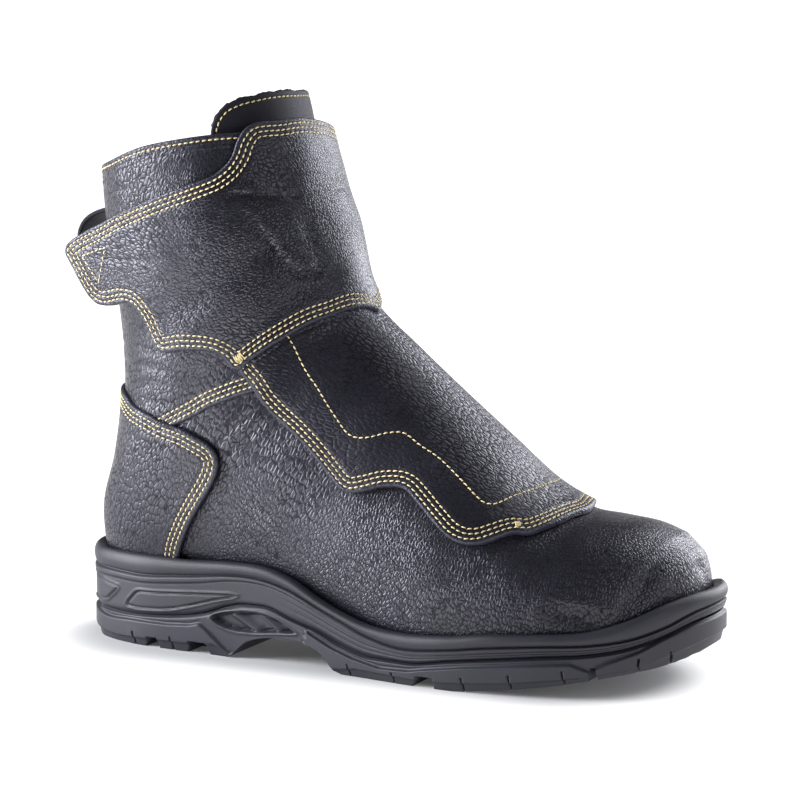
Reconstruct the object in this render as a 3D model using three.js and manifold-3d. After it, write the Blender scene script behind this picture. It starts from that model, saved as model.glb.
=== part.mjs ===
// Foundry safety boot for the right foot: black leather with closing flaps on a moulded rubber sole.
// Millimetres. +X runs to the toe, +Z up, and the outer side of the foot is at -Y.
// Every leather piece is cut from one form, the outer face of the upper, grown or shrunk along its normals.
import * as THREE from "three";
import { mergeVertices } from "three/addons/utils/BufferGeometryUtils.js";
import Module from "manifold-3d";

// Driving dimensions
const SOLE_LENGTH = 305; // outsole, heel to toe
const SOLE_WIDTH = 112; // outsole across the ball of the foot
const BOOT_HEIGHT = 256; // floor to the top of the tongue
const RIM_HEIGHT = 43; // floor to the sole's rim at the heel
const UPPER_WALL = 2.2; // leather and lining of the upper
const SHAFT_LAP = 1; // how far the shaft leather stands out over the vamp
const COUNTER_THICKNESS = 1.7;
const INSTEP_FLAP_THICKNESS = 3;
const SHAFT_FLAP_THICKNESS = 3.7;
const TAB_THICKNESS = 3.4; // free end of the shaft flap
const TAB_ANGLE = 14; // degrees that the tab turns in behind the shaft
const TONGUE_THICKNESS = 2.6;
const INSOLE_THICKNESS = 4;
const LOOP_WIDTH = 22; // pull loop across the back
const LOOP_THICKNESS = 2.2;
const THROAT_WIDTH = 28; // opening down the front of the shaft
const LUG_DEPTH = 5; // channels in the tread
const PANEL_RELIEF = 0.9; // frames that stand out of the heel wall
const ARCH_RECESS = 2.4; // oval recess in the side of the waist
const GAP = 0.3; // between pieces that are lasted, sewn or bonded face to face

// Faces of the leather layers, measured out from the form
const COUNTER_FACE = SHAFT_LAP + GAP + COUNTER_THICKNESS;
const INSTEP_FLAP_FACE = GAP + INSTEP_FLAP_THICKNESS;
const SHAFT_FLAP_FACE = SHAFT_LAP + GAP + SHAFT_FLAP_THICKNESS;
const TONGUE_FACE = -UPPER_WALL - 2 * GAP;

// How finely the curved pieces are faceted, and the step in rows and turns that gives the form's normals
const FORM_STEPS = 26;
const FORM_SIDES = 26;
const SOLE_STEPS = 26;
const NORMAL_STEP = 0.02;

const CLEAR_OF_BOOT = 0.3 * SOLE_LENGTH; // how far a cutting solid reaches past the boot

// Sections of the form, from the toe tip over the instep and up the shaft. Each is a closed ring from
// a top or front point to a low or back point. Columns: top along and up, low along and up, outer side,
// inner side and ridge across, then where it is widest and the fullness of its upper and lower curve.
const SECTIONS = [
  [0.977, 0.16, 0.977, 0.16, 0.08, 0.08, 0.08, 0.45, 2.2, 2.8],
  [0.973, 0.196, 0.972, 0.109, -0.04, 0.19, 0.08, 0.42, 2.2, 3.2],
  [0.957, 0.23, 0.956, 0.082, -0.14, 0.29, 0.08, 0.4, 2.3, 3.6],
  [0.931, 0.252, 0.928, 0.068, -0.23, 0.37, 0.07, 0.38, 2.4, 4],
  [0.892, 0.268, 0.889, 0.059, -0.32, 0.42, 0.07, 0.36, 2.4, 4],
  [0.839, 0.276, 0.839, 0.051, -0.38, 0.45, 0.06, 0.34, 2.4, 4],
  [0.787, 0.285, 0.78, 0.043, -0.43, 0.46, 0.06, 0.3, 2.3, 4],
  [0.728, 0.325, 0.711, 0.039, -0.46, 0.44, 0.05, 0.27, 2.2, 4],
  [0.666, 0.391, 0.633, 0.039, -0.46, 0.4, 0.05, 0.24, 2.1, 4],
  [0.607, 0.452, 0.551, 0.037, -0.44, 0.36, 0.04, 0.24, 2.1, 3.6],
  [0.551, 0.508, 0.466, 0.059, -0.41, 0.33, 0.04, 0.27, 2.1, 3.2],
  [0.508, 0.553, 0.38, 0.074, -0.38, 0.33, 0.03, 0.32, 2.1, 3],
  [0.474, 0.588, 0.289, 0.09, -0.37, 0.33, 0.02, 0.38, 2.1, 3],
  [0.452, 0.617, 0.197, 0.08, -0.36, 0.33, 0.01, 0.45, 2.1, 3],
  [0.443, 0.645, 0.11, 0.08, -0.36, 0.33, 0.01, 0.51, 2.1, 2.9],
  [0.436, 0.668, 0.046, 0.115, -0.36, 0.34, 0, 0.54, 2.1, 2.7],
  [0.43, 0.691, 0.026, 0.215, -0.36, 0.34, 0, 0.54, 2.1, 2.5],
  [0.424, 0.717, 0.046, 0.309, -0.37, 0.35, 0, 0.54, 2.1, 2.4],
  [0.418, 0.742, 0.056, 0.398, -0.38, 0.36, 0, 0.54, 2.1, 2.2],
  [0.41, 0.77, 0.059, 0.488, -0.38, 0.38, 0, 0.54, 2.1, 2.2],
  [0.4, 0.797, 0.056, 0.574, -0.4, 0.38, 0, 0.54, 2.1, 2.2],
  [0.39, 0.824, 0.046, 0.664, -0.41, 0.39, 0, 0.54, 2.1, 2.2],
  [0.38, 0.859, 0.034, 0.754, -0.41, 0.4, 0, 0.54, 2.1, 2.2],
  [0.365, 0.914, 0.028, 0.848, -0.41, 0.4, 0, 0.54, 2.1, 2.2],
  [0.341, 1.023, 0.023, 0.957, -0.4, 0.39, 0, 0.54, 2.1, 2.2],
];
const SECTION_UNITS = [
  SOLE_LENGTH, BOOT_HEIGHT, SOLE_LENGTH, BOOT_HEIGHT, SOLE_WIDTH, SOLE_WIDTH, SOLE_WIDTH, 1, 1, 1,
];

// Outline of the sole in plan. Columns: along the length, outer edge, inner edge.
const SOLE_OUTLINE = [
  [0, -0.03, -0.03],
  [0.003, -0.115, 0.08],
  [0.016, -0.19, 0.16],
  [0.039, -0.26, 0.24],
  [0.082, -0.32, 0.31],
  [0.131, -0.357, 0.35],
  [0.197, -0.375, 0.357],
  [0.279, -0.385, 0.34],
  [0.361, -0.402, 0.322],
  [0.443, -0.43, 0.33],
  [0.525, -0.465, 0.365],
  [0.607, -0.495, 0.41],
  [0.672, -0.505, 0.455],
  [0.738, -0.495, 0.487],
  [0.803, -0.46, 0.491],
  [0.859, -0.41, 0.47],
  [0.908, -0.34, 0.43],
  [0.948, -0.25, 0.366],
  [0.974, -0.152, 0.304],
  [0.99, -0.062, 0.232],
  [1, 0.08, 0.08],
];

// Lines along the sole's side, as shares of the rim's height at the heel. Columns: along, then each line.
const SOLE_LINES = ["rim", "groove", "ledge", "floor", "tread"];
const SOLE_HEIGHTS = [
  [0, 1.01, 0.8, 0.337, 0.558, 0.07],
  [0.026, 1, 0.79, 0.333, 0.558, 0],
  [0.079, 1, 0.79, 0.33, 0.558, 0],
  [0.131, 1, 0.784, 0.34, 0.558, 0],
  [0.197, 1, 0.82, 0.38, 0.57, 0],
  [0.246, 1.01, 0.853, 0.442, 0.605, 0],
  [0.285, 1.023, 0.884, 0.54, 0.64, 0],
  [0.321, 1.028, 0.895, 0.59, 0.672, 0.186],
  [0.361, 1.007, 0.874, 0.586, 0.67, 0.267],
  [0.403, 0.92, 0.802, 0.488, 0.58, 0.28],
  [0.449, 0.763, 0.67, 0.4, 0.484, 0.22],
  [0.492, 0.647, 0.558, 0.29, 0.377, 0],
  [0.541, 0.558, 0.437, 0.223, 0.309, 0],
  [0.6, 0.53, 0.372, 0.223, 0.302, 0],
  [0.672, 0.563, 0.42, 0.298, 0.367, 0],
  [0.728, 0.614, 0.477, 0.349, 0.43, 0.042],
  [0.8, 0.64, 0.523, 0.405, 0.488, 0.107],
  [0.866, 0.68, 0.547, 0.442, 0.526, 0.186],
  [0.918, 0.79, 0.6, 0.505, 0.588, 0.256],
  [0.957, 0.92, 0.698, 0.605, 0.688, 0.307],
  [0.984, 0.985, 0.81, 0.698, 0.777, 0.372],
  [1, 1, 0.85, 0.733, 0.802, 0.42],
];

// Steps of the sole's side, bottom to top. Columns: line below, line above, share between them, inset in mm.
const MIDSOLE_SIDE = [
  ["ledge", "groove", 0, 2.2],
  ["ledge", "groove", 0.1, 0.8],
  ["ledge", "groove", 0.8, 0.7],
  ["ledge", "groove", 0.84, 0],
  ["ledge", "groove", 0.95, 0],
  ["ledge", "groove", 1, 1.5],
  ["groove", "rim", 0.1, 0.2],
  ["groove", "rim", 0.5, -0.3],
  ["groove", "rim", 0.85, 0.6],
  ["groove", "rim", 1, 2.4],
];
const OUTSOLE_SIDE = [
  ["tread", "ledge", 0, 2.6],
  ["tread", "ledge", 0.33, 0.2],
  ["tread", "ledge", 0.8, 0],
  ["tread", "ledge", 0.9, 1.2],
  ["tread", "ledge", 1, 2.4],
];

// Outlines seen from the side. Columns: along and up, as shares of the sole's length and the boot's
// height, then how much of the shorter edge beside a corner is rounded off.
const SHAFT_FLAP_OUTER = [
  [0.492, 0.949], [0.348, 0.949, 0.2], [0.318, 0.938, 0.3], [0.307, 0.863, 0.3], [0.203, 0.816],
  [0.118, 0.777], [0.118, 0.617], [0.144, 0.615, 0.3], [0.177, 0.539, 0.3], [0.275, 0.549, 0.4],
  [0.311, 0.512], [0.331, 0.529], [0.367, 0.564], [0.413, 0.598], [0.449, 0.617], [0.492, 0.625],
];
const SHAFT_FLAP_INNER = [
  [0.492, 0.949], [0.348, 0.949, 0.2], [0.315, 0.934, 0.3], [0.203, 0.898, 0.1], [0.19, 0.703],
  [0.197, 0.49, 0.1], [0.295, 0.508], [0.331, 0.529], [0.367, 0.564], [0.413, 0.598], [0.449, 0.617],
  [0.492, 0.625],
];
const TAB = [
  [0.164, 0.805], [0.105, 0.773], [-0.003, 0.723, 0.2], [0.05, 0.613, 0.3], [0.144, 0.615, 0.2],
  [0.164, 0.586],
];
const INSTEP_FLAP = [
  [0.859, 0.547], [0.492, 0.676], [0.449, 0.664], [0.413, 0.645], [0.367, 0.611], [0.321, 0.574],
  [0.295, 0.543], [0.315, 0.51], [0.485, 0.314, 0.25], [0.577, 0.342, 0.4], [0.675, 0.24, 0.3],
  [0.734, 0.266, 0.3], [0.78, 0.277], [0.8, 0.291], [0.82, 0.301], [0.83, 0.352],
];
const COUNTER = [
  [-0.049, 0.465], [0.046, 0.463], [0.098, 0.451], [0.151, 0.426], [0.197, 0.408], [0.243, 0.393],
  [0.28, 0.369, 0.3], [0.272, 0.312, 0.3], [0.225, 0.234, 0.3], [0.197, 0.164], [0.19, 0.078],
  [-0.049, 0.078],
];
const SHAFT_LEATHER = [
  [-0.049, 0.305], [0.098, 0.352], [0.203, 0.406], [0.262, 0.445], [0.331, 0.477], [0.41, 0.512],
  [0.541, 0.555], [0.541, 1.055], [-0.049, 1.055],
];
const ABOVE_COLLAR = [
  [-0.049, 0.85], [0.026, 0.857], [0.085, 0.871], [0.118, 0.882], [0.157, 0.897], [0.193, 0.908],
  [0.23, 0.915], [0.285, 0.922], [0.492, 0.93], [0.492, 1.172], [-0.049, 1.172],
];
const TONGUE = [
  [0.262, 0.934], [0.262, 0.951], [0.275, 0.969], [0.298, 0.985], [0.321, 0.994], [0.348, 1],
  [0.492, 1], [0.59, 0.586], [0.59, 0.445], [0.38, 0.461, 0.3], [0.321, 0.695],
];

const TAB_HINGE = [0.144, -0.419]; // where the tab leaves the shaft, along the length and across the width
const THROAT_FOOT = 0.6; // centre of the throat's round foot, as a share of the boot's height

// Centre line of the pull loop behind the shaft. Columns: along and up.
const LOOP_LINE = [
  [0.066, 0.777], [0.02, 0.777], [-0.014, 0.758], [-0.026, 0.73], [-0.018, 0.699], [0.016, 0.676],
  [0.066, 0.668],
];

// Frames on the outer and inner wall of the heel, and the recess in the side of the waist.
// Columns: along, up as a share of the rim's height, and rounding.
const HEEL_PANEL = [
  [0.1, 0.42, 0.2], [0.121, 0.626, 0.2], [0.2, 0.66], [0.311, 0.71, 0.3], [0.23, 0.52, 0.3],
  [0.18, 0.407, 0.3],
];
const PANEL_MIDDLE = [0.2, 0.58];
const PANEL_FIELD = [0.88, 0.66]; // size of the field inside a frame, along and up
const ARCH_OVAL = [
  [0.256, 0.4, 0.4], [0.315, 0.51, 0.4], [0.36, 0.51, 0.4], [0.413, 0.37, 0.3], [0.35, 0.3, 0.4],
];
// Blades left standing in the waist's recess. Columns: foot along and up, tip along and up.
const ARCH_BLADES = [
  [0.337, 0.29, 0.298, 0.44],
  [0.378, 0.33, 0.351, 0.48],
  [0.41, 0.35, 0.392, 0.4],
];
const BLADE_WIDTH = 0.008; // as a share of the sole's length

// Channels in the tread. Columns: along, width along, outer end and inner end across.
const CHANNELS = [
  [0.046, 0.02, -0.6, -0.12],
  [0.046, 0.02, 0.12, 0.6],
  [0.154, 0.02, -0.6, -0.14],
  [0.154, 0.02, 0.14, 0.6],
  [0.239, 0.03, -0.6, -0.14],
  [0.239, 0.03, 0.14, 0.6],
  [0.545, 0.014, -0.36, 0.28],
  [0.627, 0.029, -0.6, 0.6],
  [0.71, 0.016, -0.36, 0.36],
  [0.79, 0.016, -0.36, 0.38],
  [0.872, 0.014, -0.6, 0.6],
];
const REST_SPOTS = { heel: 0.11, forefoot: 0.585 }; // along the length, clear of the channels

const wasm = await Module();
wasm.setup();

// A closed geometry as a solid that can be joined and cut.
function solidOf(geometry) {
  const bare = new THREE.BufferGeometry();
  bare.setAttribute("position", geometry.getAttribute("position"));
  bare.setIndex(geometry.index);
  const merged = mergeVertices(bare, 1e-4);
  return new wasm.Manifold(
    new wasm.Mesh({
      numProp: 3,
      vertProperties: merged.attributes.position.array,
      triVerts: new Uint32Array(merged.index.array),
    }),
  );
}

// A named mesh from a solid.
function meshOf(name, solid, material) {
  const { vertProperties, triVerts } = solid.getMesh();
  const geometry = new THREE.BufferGeometry();
  geometry.setAttribute("position", new THREE.BufferAttribute(vertProperties, 3));
  geometry.setIndex(new THREE.BufferAttribute(triVerts, 1));
  geometry.computeVertexNormals();
  const mesh = new THREE.Mesh(geometry, material);
  mesh.name = name;
  return mesh;
}

// A closed geometry from its points and the corners of its triangles.
function closedGeometry(points, triangles) {
  const geometry = new THREE.BufferGeometry().setFromPoints(points);
  geometry.setIndex(triangles);
  return geometry;
}

// The form

const sections = SECTIONS.map((row) => row.map((value, column) => value * SECTION_UNITS[column]));

// The toe tip closes on itself, so the row before it mirrors the row after it.
function rowBeforeTip() {
  const mirrored = [1, 3, 4, 5];
  const [tip, next] = sections;
  return next.map((value, column) => (mirrored.includes(column) ? 2 * tip[column] - value : value));
}

const sectionRun = [
  rowBeforeTip(),
  ...sections,
  sections.at(-1).map((value, column) => 2 * value - sections.at(-2)[column]),
];

// A smooth curve through four values, at a share of the way from the second to the third.
function smooth(before, from, to, after, share) {
  const turn = 2 * before - 5 * from + 4 * to - after;
  const bend = 3 * (from - to) + after - before;
  return from + 0.5 * share * (to - before + share * (turn + share * bend));
}

// The section at a place between the rows: 0 is the toe tip.
function sectionAt(place) {
  const row = Math.min(Math.floor(place), sections.length - 2);
  const share = place - row;
  return sections[0].map((_, column) =>
    smooth(...[0, 1, 2, 3].map((step) => sectionRun[row + step][column]), share),
  );
}

// A point of the form. The turn runs from the ridge down the outer side, under and up the inner side.
function formPoint(place, turn) {
  const [topX, topZ, lowX, lowZ, outer, inner, ridge, widest, topCurve, lowCurve] = sectionAt(place);
  const middleX = lowX + (topX - lowX) * widest;
  const middleZ = lowZ + (topZ - lowZ) * widest;
  const up = Math.cos(turn);
  const out = Math.sin(turn);
  const power = 2 / (up >= 0 ? topCurve : lowCurve);
  const reach = Math.abs(up) ** power;
  const halfWidth = out >= 0 ? ridge - outer : inner - ridge;
  const [endX, endZ] = up >= 0 ? [topX, topZ] : [lowX, lowZ];
  return new THREE.Vector3(
    middleX + (endX - middleX) * reach,
    ridge - Math.sign(out) * Math.abs(out) ** power * halfWidth,
    middleZ + (endZ - middleZ) * reach,
  );
}

function formNormal(place, turn) {
  if (place === 0) return new THREE.Vector3(1, 0, 0);
  const last = sections.length - 1;
  const ahead = formPoint(Math.min(place + NORMAL_STEP, last), turn);
  const along = ahead.sub(formPoint(Math.max(place - NORMAL_STEP, 0), turn));
  const around = formPoint(place, turn + NORMAL_STEP).sub(formPoint(place, turn - NORMAL_STEP));
  return along.cross(around).normalize();
}

// The form grown by an offset, as a solid closed by a pole at the toe and a lid above the collar.
function makeForm(offset) {
  const last = sections.length - 1;
  const points = [formPoint(0, 0).addScaledVector(formNormal(0, 0), offset)];
  for (let step = 1; step <= FORM_STEPS; step++) {
    const place = (last * step) / FORM_STEPS;
    for (let side = 0; side < FORM_SIDES; side++) {
      const turn = (2 * Math.PI * side) / FORM_SIDES;
      points.push(formPoint(place, turn).addScaledVector(formNormal(place, turn), offset));
    }
  }
  const ring = (step, side) => 1 + (step - 1) * FORM_SIDES + (side % FORM_SIDES);
  const triangles = [];
  for (let side = 0; side < FORM_SIDES; side++) {
    triangles.push(0, ring(1, side), ring(1, side + 1));
    for (let step = 1; step < FORM_STEPS; step++) {
      triangles.push(ring(step, side), ring(step + 1, side), ring(step + 1, side + 1));
      triangles.push(ring(step, side), ring(step + 1, side + 1), ring(step, side + 1));
    }
  }
  const lid = points.slice(-FORM_SIDES);
  const centre = lid.reduce((sum, point) => sum.add(point), new THREE.Vector3()).divideScalar(FORM_SIDES);
  points.push(centre);
  for (let side = 0; side < FORM_SIDES; side++)
    triangles.push(ring(FORM_STEPS, side), points.length - 1, ring(FORM_STEPS, side + 1));
  return solidOf(closedGeometry(points, triangles));
}

const madeForms = new Map();
function form(offset) {
  if (!madeForms.has(offset)) madeForms.set(offset, makeForm(offset));
  return madeForms.get(offset);
}

// The sole

// A cubic through the rows of a table that stays flat where its values are level.
function follow(keys, values, at) {
  const steps = keys.slice(1).map((key, row) => (values[row + 1] - values[row]) / (key - keys[row]));
  const slope = (row) => {
    if (row === 0) return steps[0];
    if (row === steps.length) return steps.at(-1);
    if (steps[row - 1] * steps[row] <= 0) return 0;
    return (values[row + 1] - values[row - 1]) / (keys[row + 1] - keys[row - 1]);
  };
  const row = Math.min(Math.max(keys.findLastIndex((key) => key <= at), 0), steps.length - 1);
  const width = keys[row + 1] - keys[row];
  const share = Math.min(Math.max((at - keys[row]) / width, 0), 1);
  const rest = 1 - share;
  const ends = values[row] * (1 + 2 * share) * rest ** 2 + values[row + 1] * (3 - 2 * share) * share ** 2;
  return ends + width * share * rest * (slope(row) * rest - slope(row + 1) * share);
}

// Height of a named line of the sole at a distance from the heel.
function lineAt(name, x) {
  const column = 1 + SOLE_LINES.indexOf(name);
  const keys = SOLE_HEIGHTS.map((row) => row[0]);
  const values = SOLE_HEIGHTS.map((row) => row[column]);
  return follow(keys, values, x / SOLE_LENGTH) * RIM_HEIGHT;
}

// The outline turns tightly at heel and toe, so it is followed by an angle instead of by length.
const outlineAngle = (share) => Math.acos(1 - 2 * share) / Math.PI;
const outlineKeys = SOLE_OUTLINE.map((row) => outlineAngle(row[0]));

function outlinePoint(angle, column) {
  const across = follow(outlineKeys, SOLE_OUTLINE.map((row) => row[column]), angle);
  return new THREE.Vector2((SOLE_LENGTH * (1 - Math.cos(Math.PI * angle))) / 2, across * SOLE_WIDTH);
}

// Ring of points round the sole: heel tip, outer side, toe tip, inner side.
function soleRing() {
  const ring = [];
  for (let step = 0; step < SOLE_STEPS; step++) ring.push(outlinePoint(step / SOLE_STEPS, 1));
  for (let step = SOLE_STEPS; step > 0; step--) ring.push(outlinePoint(step / SOLE_STEPS, 2));
  return ring;
}

// The ring moved inwards, or outwards for a negative inset.
function insetRing(inset) {
  const ring = soleRing();
  return ring.map((point, index) => {
    const before = ring.at(index - 1);
    const after = ring[(index + 1) % ring.length];
    const along = after.clone().sub(before).normalize();
    return new THREE.Vector2(point.x - along.y * inset, point.y + along.x * inset);
  });
}

// A solid stacked from levels, each with an inset and a height that varies along the sole.
function soleSolid(levels) {
  const points = levels.flatMap(({ inset, height }) =>
    insetRing(inset).map(({ x, y }) => new THREE.Vector3(x, y, height(x))),
  );
  const count = 2 * SOLE_STEPS;
  const at = (level, index) => level * count + (index % count);
  const triangles = [];
  for (let level = 1; level < levels.length; level++) {
    for (let index = 0; index < count; index++) {
      triangles.push(at(level - 1, index), at(level - 1, index + 1), at(level, index + 1));
      triangles.push(at(level - 1, index), at(level, index + 1), at(level, index));
    }
  }
  const top = levels.length - 1;
  for (let index = 0; index < SOLE_STEPS; index++) {
    const [near, next, acrossNext, across] = [index, index + 1, count - index - 1, count - index];
    if (index > 0) {
      triangles.push(at(top, near), at(top, acrossNext), at(top, across));
      triangles.push(at(0, near), at(0, across), at(0, acrossNext));
    }
    if (index < SOLE_STEPS - 1) {
      triangles.push(at(top, near), at(top, next), at(top, acrossNext));
      triangles.push(at(0, near), at(0, acrossNext), at(0, next));
    }
  }
  return solidOf(closedGeometry(points, triangles));
}

// The stepped side of a table, grown outwards and lifted or lowered where it meets another layer.
function steppedSolid(side, { grow = 0, raiseBottom = 0, raiseTop = 0 } = {}) {
  return soleSolid(
    side.map(([low, high, share, inset], index) => {
      const lift = index === 0 ? raiseBottom : index === side.length - 1 ? raiseTop : 0;
      return {
        inset: inset - grow,
        height: (x) => lineAt(low, x) * (1 - share) + lineAt(high, x) * share + lift,
      };
    }),
  );
}

// Everything above the floor of the sole, raised by a gap.
function aboveFloor(lift) {
  return soleSolid([
    { inset: -CLEAR_OF_BOOT / 2, height: (x) => lineAt("floor", x) + lift },
    { inset: -CLEAR_OF_BOOT / 2, height: () => BOOT_HEIGHT + CLEAR_OF_BOOT },
  ]);
}

// Cutting solids

// A closed outline with some of its corners rounded.
function roundedShape(rows, unitAlong, unitUp) {
  const corners = rows.map(([along, up]) => new THREE.Vector2(along * unitAlong, up * unitUp));
  const shape = new THREE.Shape();
  corners.forEach((corner, index) => {
    const before = corners.at(index - 1);
    const after = corners[(index + 1) % corners.length];
    const round = rows[index][2] ?? 0;
    const cut = round * Math.min(corner.distanceTo(before), corner.distanceTo(after));
    const start = before.clone().sub(corner).setLength(cut).add(corner);
    const end = after.clone().sub(corner).setLength(cut).add(corner);
    if (index === 0) shape.moveTo(start.x, start.y);
    else shape.lineTo(start.x, start.y);
    if (cut > 0) shape.quadraticCurveTo(corner.x, corner.y, end.x, end.y);
  });
  return shape;
}

// A shape seen from the side, as a prism across the boot between two values of Y.
function sidePrism(shape, fromY, toY) {
  const geometry = new THREE.ExtrudeGeometry(shape, {
    depth: toY - fromY,
    bevelEnabled: false,
    curveSegments: 3,
  });
  geometry.rotateX(Math.PI / 2);
  geometry.translate(0, toY, 0);
  return solidOf(geometry);
}

const sideShape = (rows) => roundedShape(rows, SOLE_LENGTH, BOOT_HEIGHT);
const bothSides = (rows) => sidePrism(sideShape(rows), -SOLE_WIDTH, SOLE_WIDTH);

// An outline for the outer side joined to one for the inner side.
function twoSided(outerRows, innerRows) {
  const outerHalf = sidePrism(sideShape(outerRows), -SOLE_WIDTH, 0);
  return outerHalf.add(sidePrism(sideShape(innerRows), 0, SOLE_WIDTH));
}

const shaftRegion = bothSides(SHAFT_LEATHER);

// The outer face of the upper with the lapped shaft leather, grown by a gap.
function upperFace(gap) {
  const lapped = form(SHAFT_LAP + gap).intersect(shaftRegion.translate([0, 0, -2 * gap]));
  return form(gap).add(lapped);
}

const keepClear = upperFace(GAP);

// Pieces

// The throat is a slot down the front of the shaft with a round foot.
function throatSlot() {
  const radius = THROAT_WIDTH / 2;
  const foot = THROAT_FOOT * BOOT_HEIGHT;
  const shape = new THREE.Shape();
  shape.moveTo(radius, BOOT_HEIGHT + CLEAR_OF_BOOT);
  shape.lineTo(-radius, BOOT_HEIGHT + CLEAR_OF_BOOT);
  shape.lineTo(-radius, foot);
  shape.absarc(0, foot, radius, Math.PI, 2 * Math.PI);
  const geometry = new THREE.ExtrudeGeometry(shape, {
    depth: SOLE_LENGTH / 2,
    bevelEnabled: false,
    curveSegments: 6,
  });
  const toFront = new THREE.Matrix4().makeBasis(
    new THREE.Vector3(0, 1, 0),
    new THREE.Vector3(0, 0, 1),
    new THREE.Vector3(1, 0, 0),
  );
  geometry.applyMatrix4(toFront);
  geometry.translate(SOLE_LENGTH / 4, 0, 0);
  return solidOf(geometry);
}

function makeUpper() {
  return upperFace(0)
    .subtract(form(-UPPER_WALL))
    .intersect(aboveFloor(GAP))
    .subtract(bothSides(ABOVE_COLLAR))
    .subtract(throatSlot());
}

function makeHeelCounter() {
  const sole = steppedSolid(MIDSOLE_SIDE, { grow: GAP, raiseTop: GAP });
  return form(COUNTER_FACE).intersect(bothSides(COUNTER)).subtract(keepClear).subtract(sole);
}

function makeTongue() {
  return form(TONGUE_FACE).subtract(form(TONGUE_FACE - TONGUE_THICKNESS)).intersect(bothSides(TONGUE));
}

function makeInstepFlap() {
  return form(INSTEP_FLAP_FACE).intersect(bothSides(INSTEP_FLAP)).subtract(keepClear);
}

// The tab leaves the shaft where the flap stops following it, and turns in behind it as a flat leaf.
function makeTab() {
  const hinge = new THREE.Vector3(TAB_HINGE[0] * SOLE_LENGTH, TAB_HINGE[1] * SOLE_WIDTH, 0);
  return sidePrism(sideShape(TAB), 0, TAB_THICKNESS)
    .translate([-hinge.x, 0, 0])
    .rotate([0, 0, -TAB_ANGLE])
    .translate([hinge.x, hinge.y, 0]);
}

function makeShaftFlap() {
  const lappedFlap = form(INSTEP_FLAP_FACE + GAP).intersect(bothSides(INSTEP_FLAP));
  return form(SHAFT_FLAP_FACE)
    .intersect(twoSided(SHAFT_FLAP_OUTER, SHAFT_FLAP_INNER))
    .add(makeTab())
    .subtract(keepClear)
    .subtract(lappedFlap);
}

function makePullLoop() {
  const curve = new THREE.CatmullRomCurve3(
    LOOP_LINE.map(([along, up]) => new THREE.Vector3(along * SOLE_LENGTH, 0, up * BOOT_HEIGHT)),
  );
  const halfWidth = LOOP_WIDTH / 2;
  const halfThick = LOOP_THICKNESS / 2;
  const strip = new THREE.Shape([
    new THREE.Vector2(-halfWidth, -halfThick),
    new THREE.Vector2(halfWidth, -halfThick),
    new THREE.Vector2(halfWidth, halfThick),
    new THREE.Vector2(-halfWidth, halfThick),
  ]);
  const geometry = new THREE.ExtrudeGeometry(strip, { steps: 18, extrudePath: curve });
  return solidOf(geometry).subtract(keepClear);
}

function makeInsole() {
  return form(-UPPER_WALL - GAP)
    .intersect(aboveFloor(GAP))
    .subtract(aboveFloor(GAP + INSOLE_THICKNESS));
}

const wallShape = (rows) => roundedShape(rows, SOLE_LENGTH, RIM_HEIGHT);

// Frames that stand out of the heel wall, with the wall's own face inside them.
function heelFrames() {
  const middle = new THREE.Vector2(PANEL_MIDDLE[0] * SOLE_LENGTH, PANEL_MIDDLE[1] * RIM_HEIGHT);
  const [along, up] = PANEL_FIELD;
  const frame = sidePrism(wallShape(HEEL_PANEL), -SOLE_WIDTH, SOLE_WIDTH);
  const field = frame
    .translate([-middle.x, 0, -middle.y])
    .scale([along, 1, up])
    .translate([middle.x, 0, middle.y]);
  return steppedSolid(MIDSOLE_SIDE, { grow: PANEL_RELIEF }).intersect(frame.subtract(field));
}

function makeMidsole() {
  return steppedSolid(MIDSOLE_SIDE, { raiseBottom: GAP })
    .add(heelFrames())
    .subtract(form(GAP).intersect(aboveFloor(0)));
}

// The recess in the side of the waist, without the blades that stand in it.
function archRecess() {
  const blades = ARCH_BLADES.map(([footX, footZ, tipX, tipZ]) => [
    [footX - BLADE_WIDTH, footZ],
    [footX + BLADE_WIDTH, footZ],
    [tipX + BLADE_WIDTH / 2, tipZ],
    [tipX - BLADE_WIDTH / 2, tipZ],
  ]);
  const oval = sidePrism(wallShape(ARCH_OVAL), -SOLE_WIDTH, SOLE_WIDTH);
  const open = blades.reduce(
    (left, rows) => left.subtract(sidePrism(wallShape(rows), -SOLE_WIDTH, SOLE_WIDTH)),
    oval,
  );
  const core = steppedSolid(OUTSOLE_SIDE, { grow: -ARCH_RECESS, raiseTop: GAP, raiseBottom: -GAP });
  return open.subtract(core);
}

function makeOutsole() {
  const channels = CHANNELS.map(([along, width, outer, inner]) => {
    const x = along * SOLE_LENGTH;
    const cut = new THREE.BoxGeometry(width * SOLE_LENGTH, (inner - outer) * SOLE_WIDTH, 2 * LUG_DEPTH);
    cut.translate(x, ((inner + outer) / 2) * SOLE_WIDTH, lineAt("tread", x));
    return solidOf(cut);
  });
  const block = steppedSolid(OUTSOLE_SIDE).subtract(archRecess());
  return channels.reduce((body, cut) => body.subtract(cut), block);
}

// Materials

const leather = () => new THREE.MeshStandardMaterial({ color: 0x24242b, roughness: 0.45, metalness: 0 });
const lining = () => new THREE.MeshStandardMaterial({ color: 0x2e2f36, roughness: 0.85, metalness: 0 });
const rubber = () => new THREE.MeshStandardMaterial({ color: 0x303036, roughness: 0.6, metalness: 0 });

const boot = new THREE.Group();
boot.add(
  meshOf("outsole", makeOutsole(), rubber()),
  meshOf("midsole", makeMidsole(), rubber()),
  meshOf("insole", makeInsole(), lining()),
  meshOf("upper", makeUpper(), leather()),
  meshOf("heel_counter", makeHeelCounter(), leather()),
  meshOf("tongue", makeTongue(), leather()),
  meshOf("instep_flap", makeInstepFlap(), leather()),
  meshOf("shaft_flap", makeShaftFlap(), leather()),
  meshOf("pull_loop", makePullLoop(), leather()),
);

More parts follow.
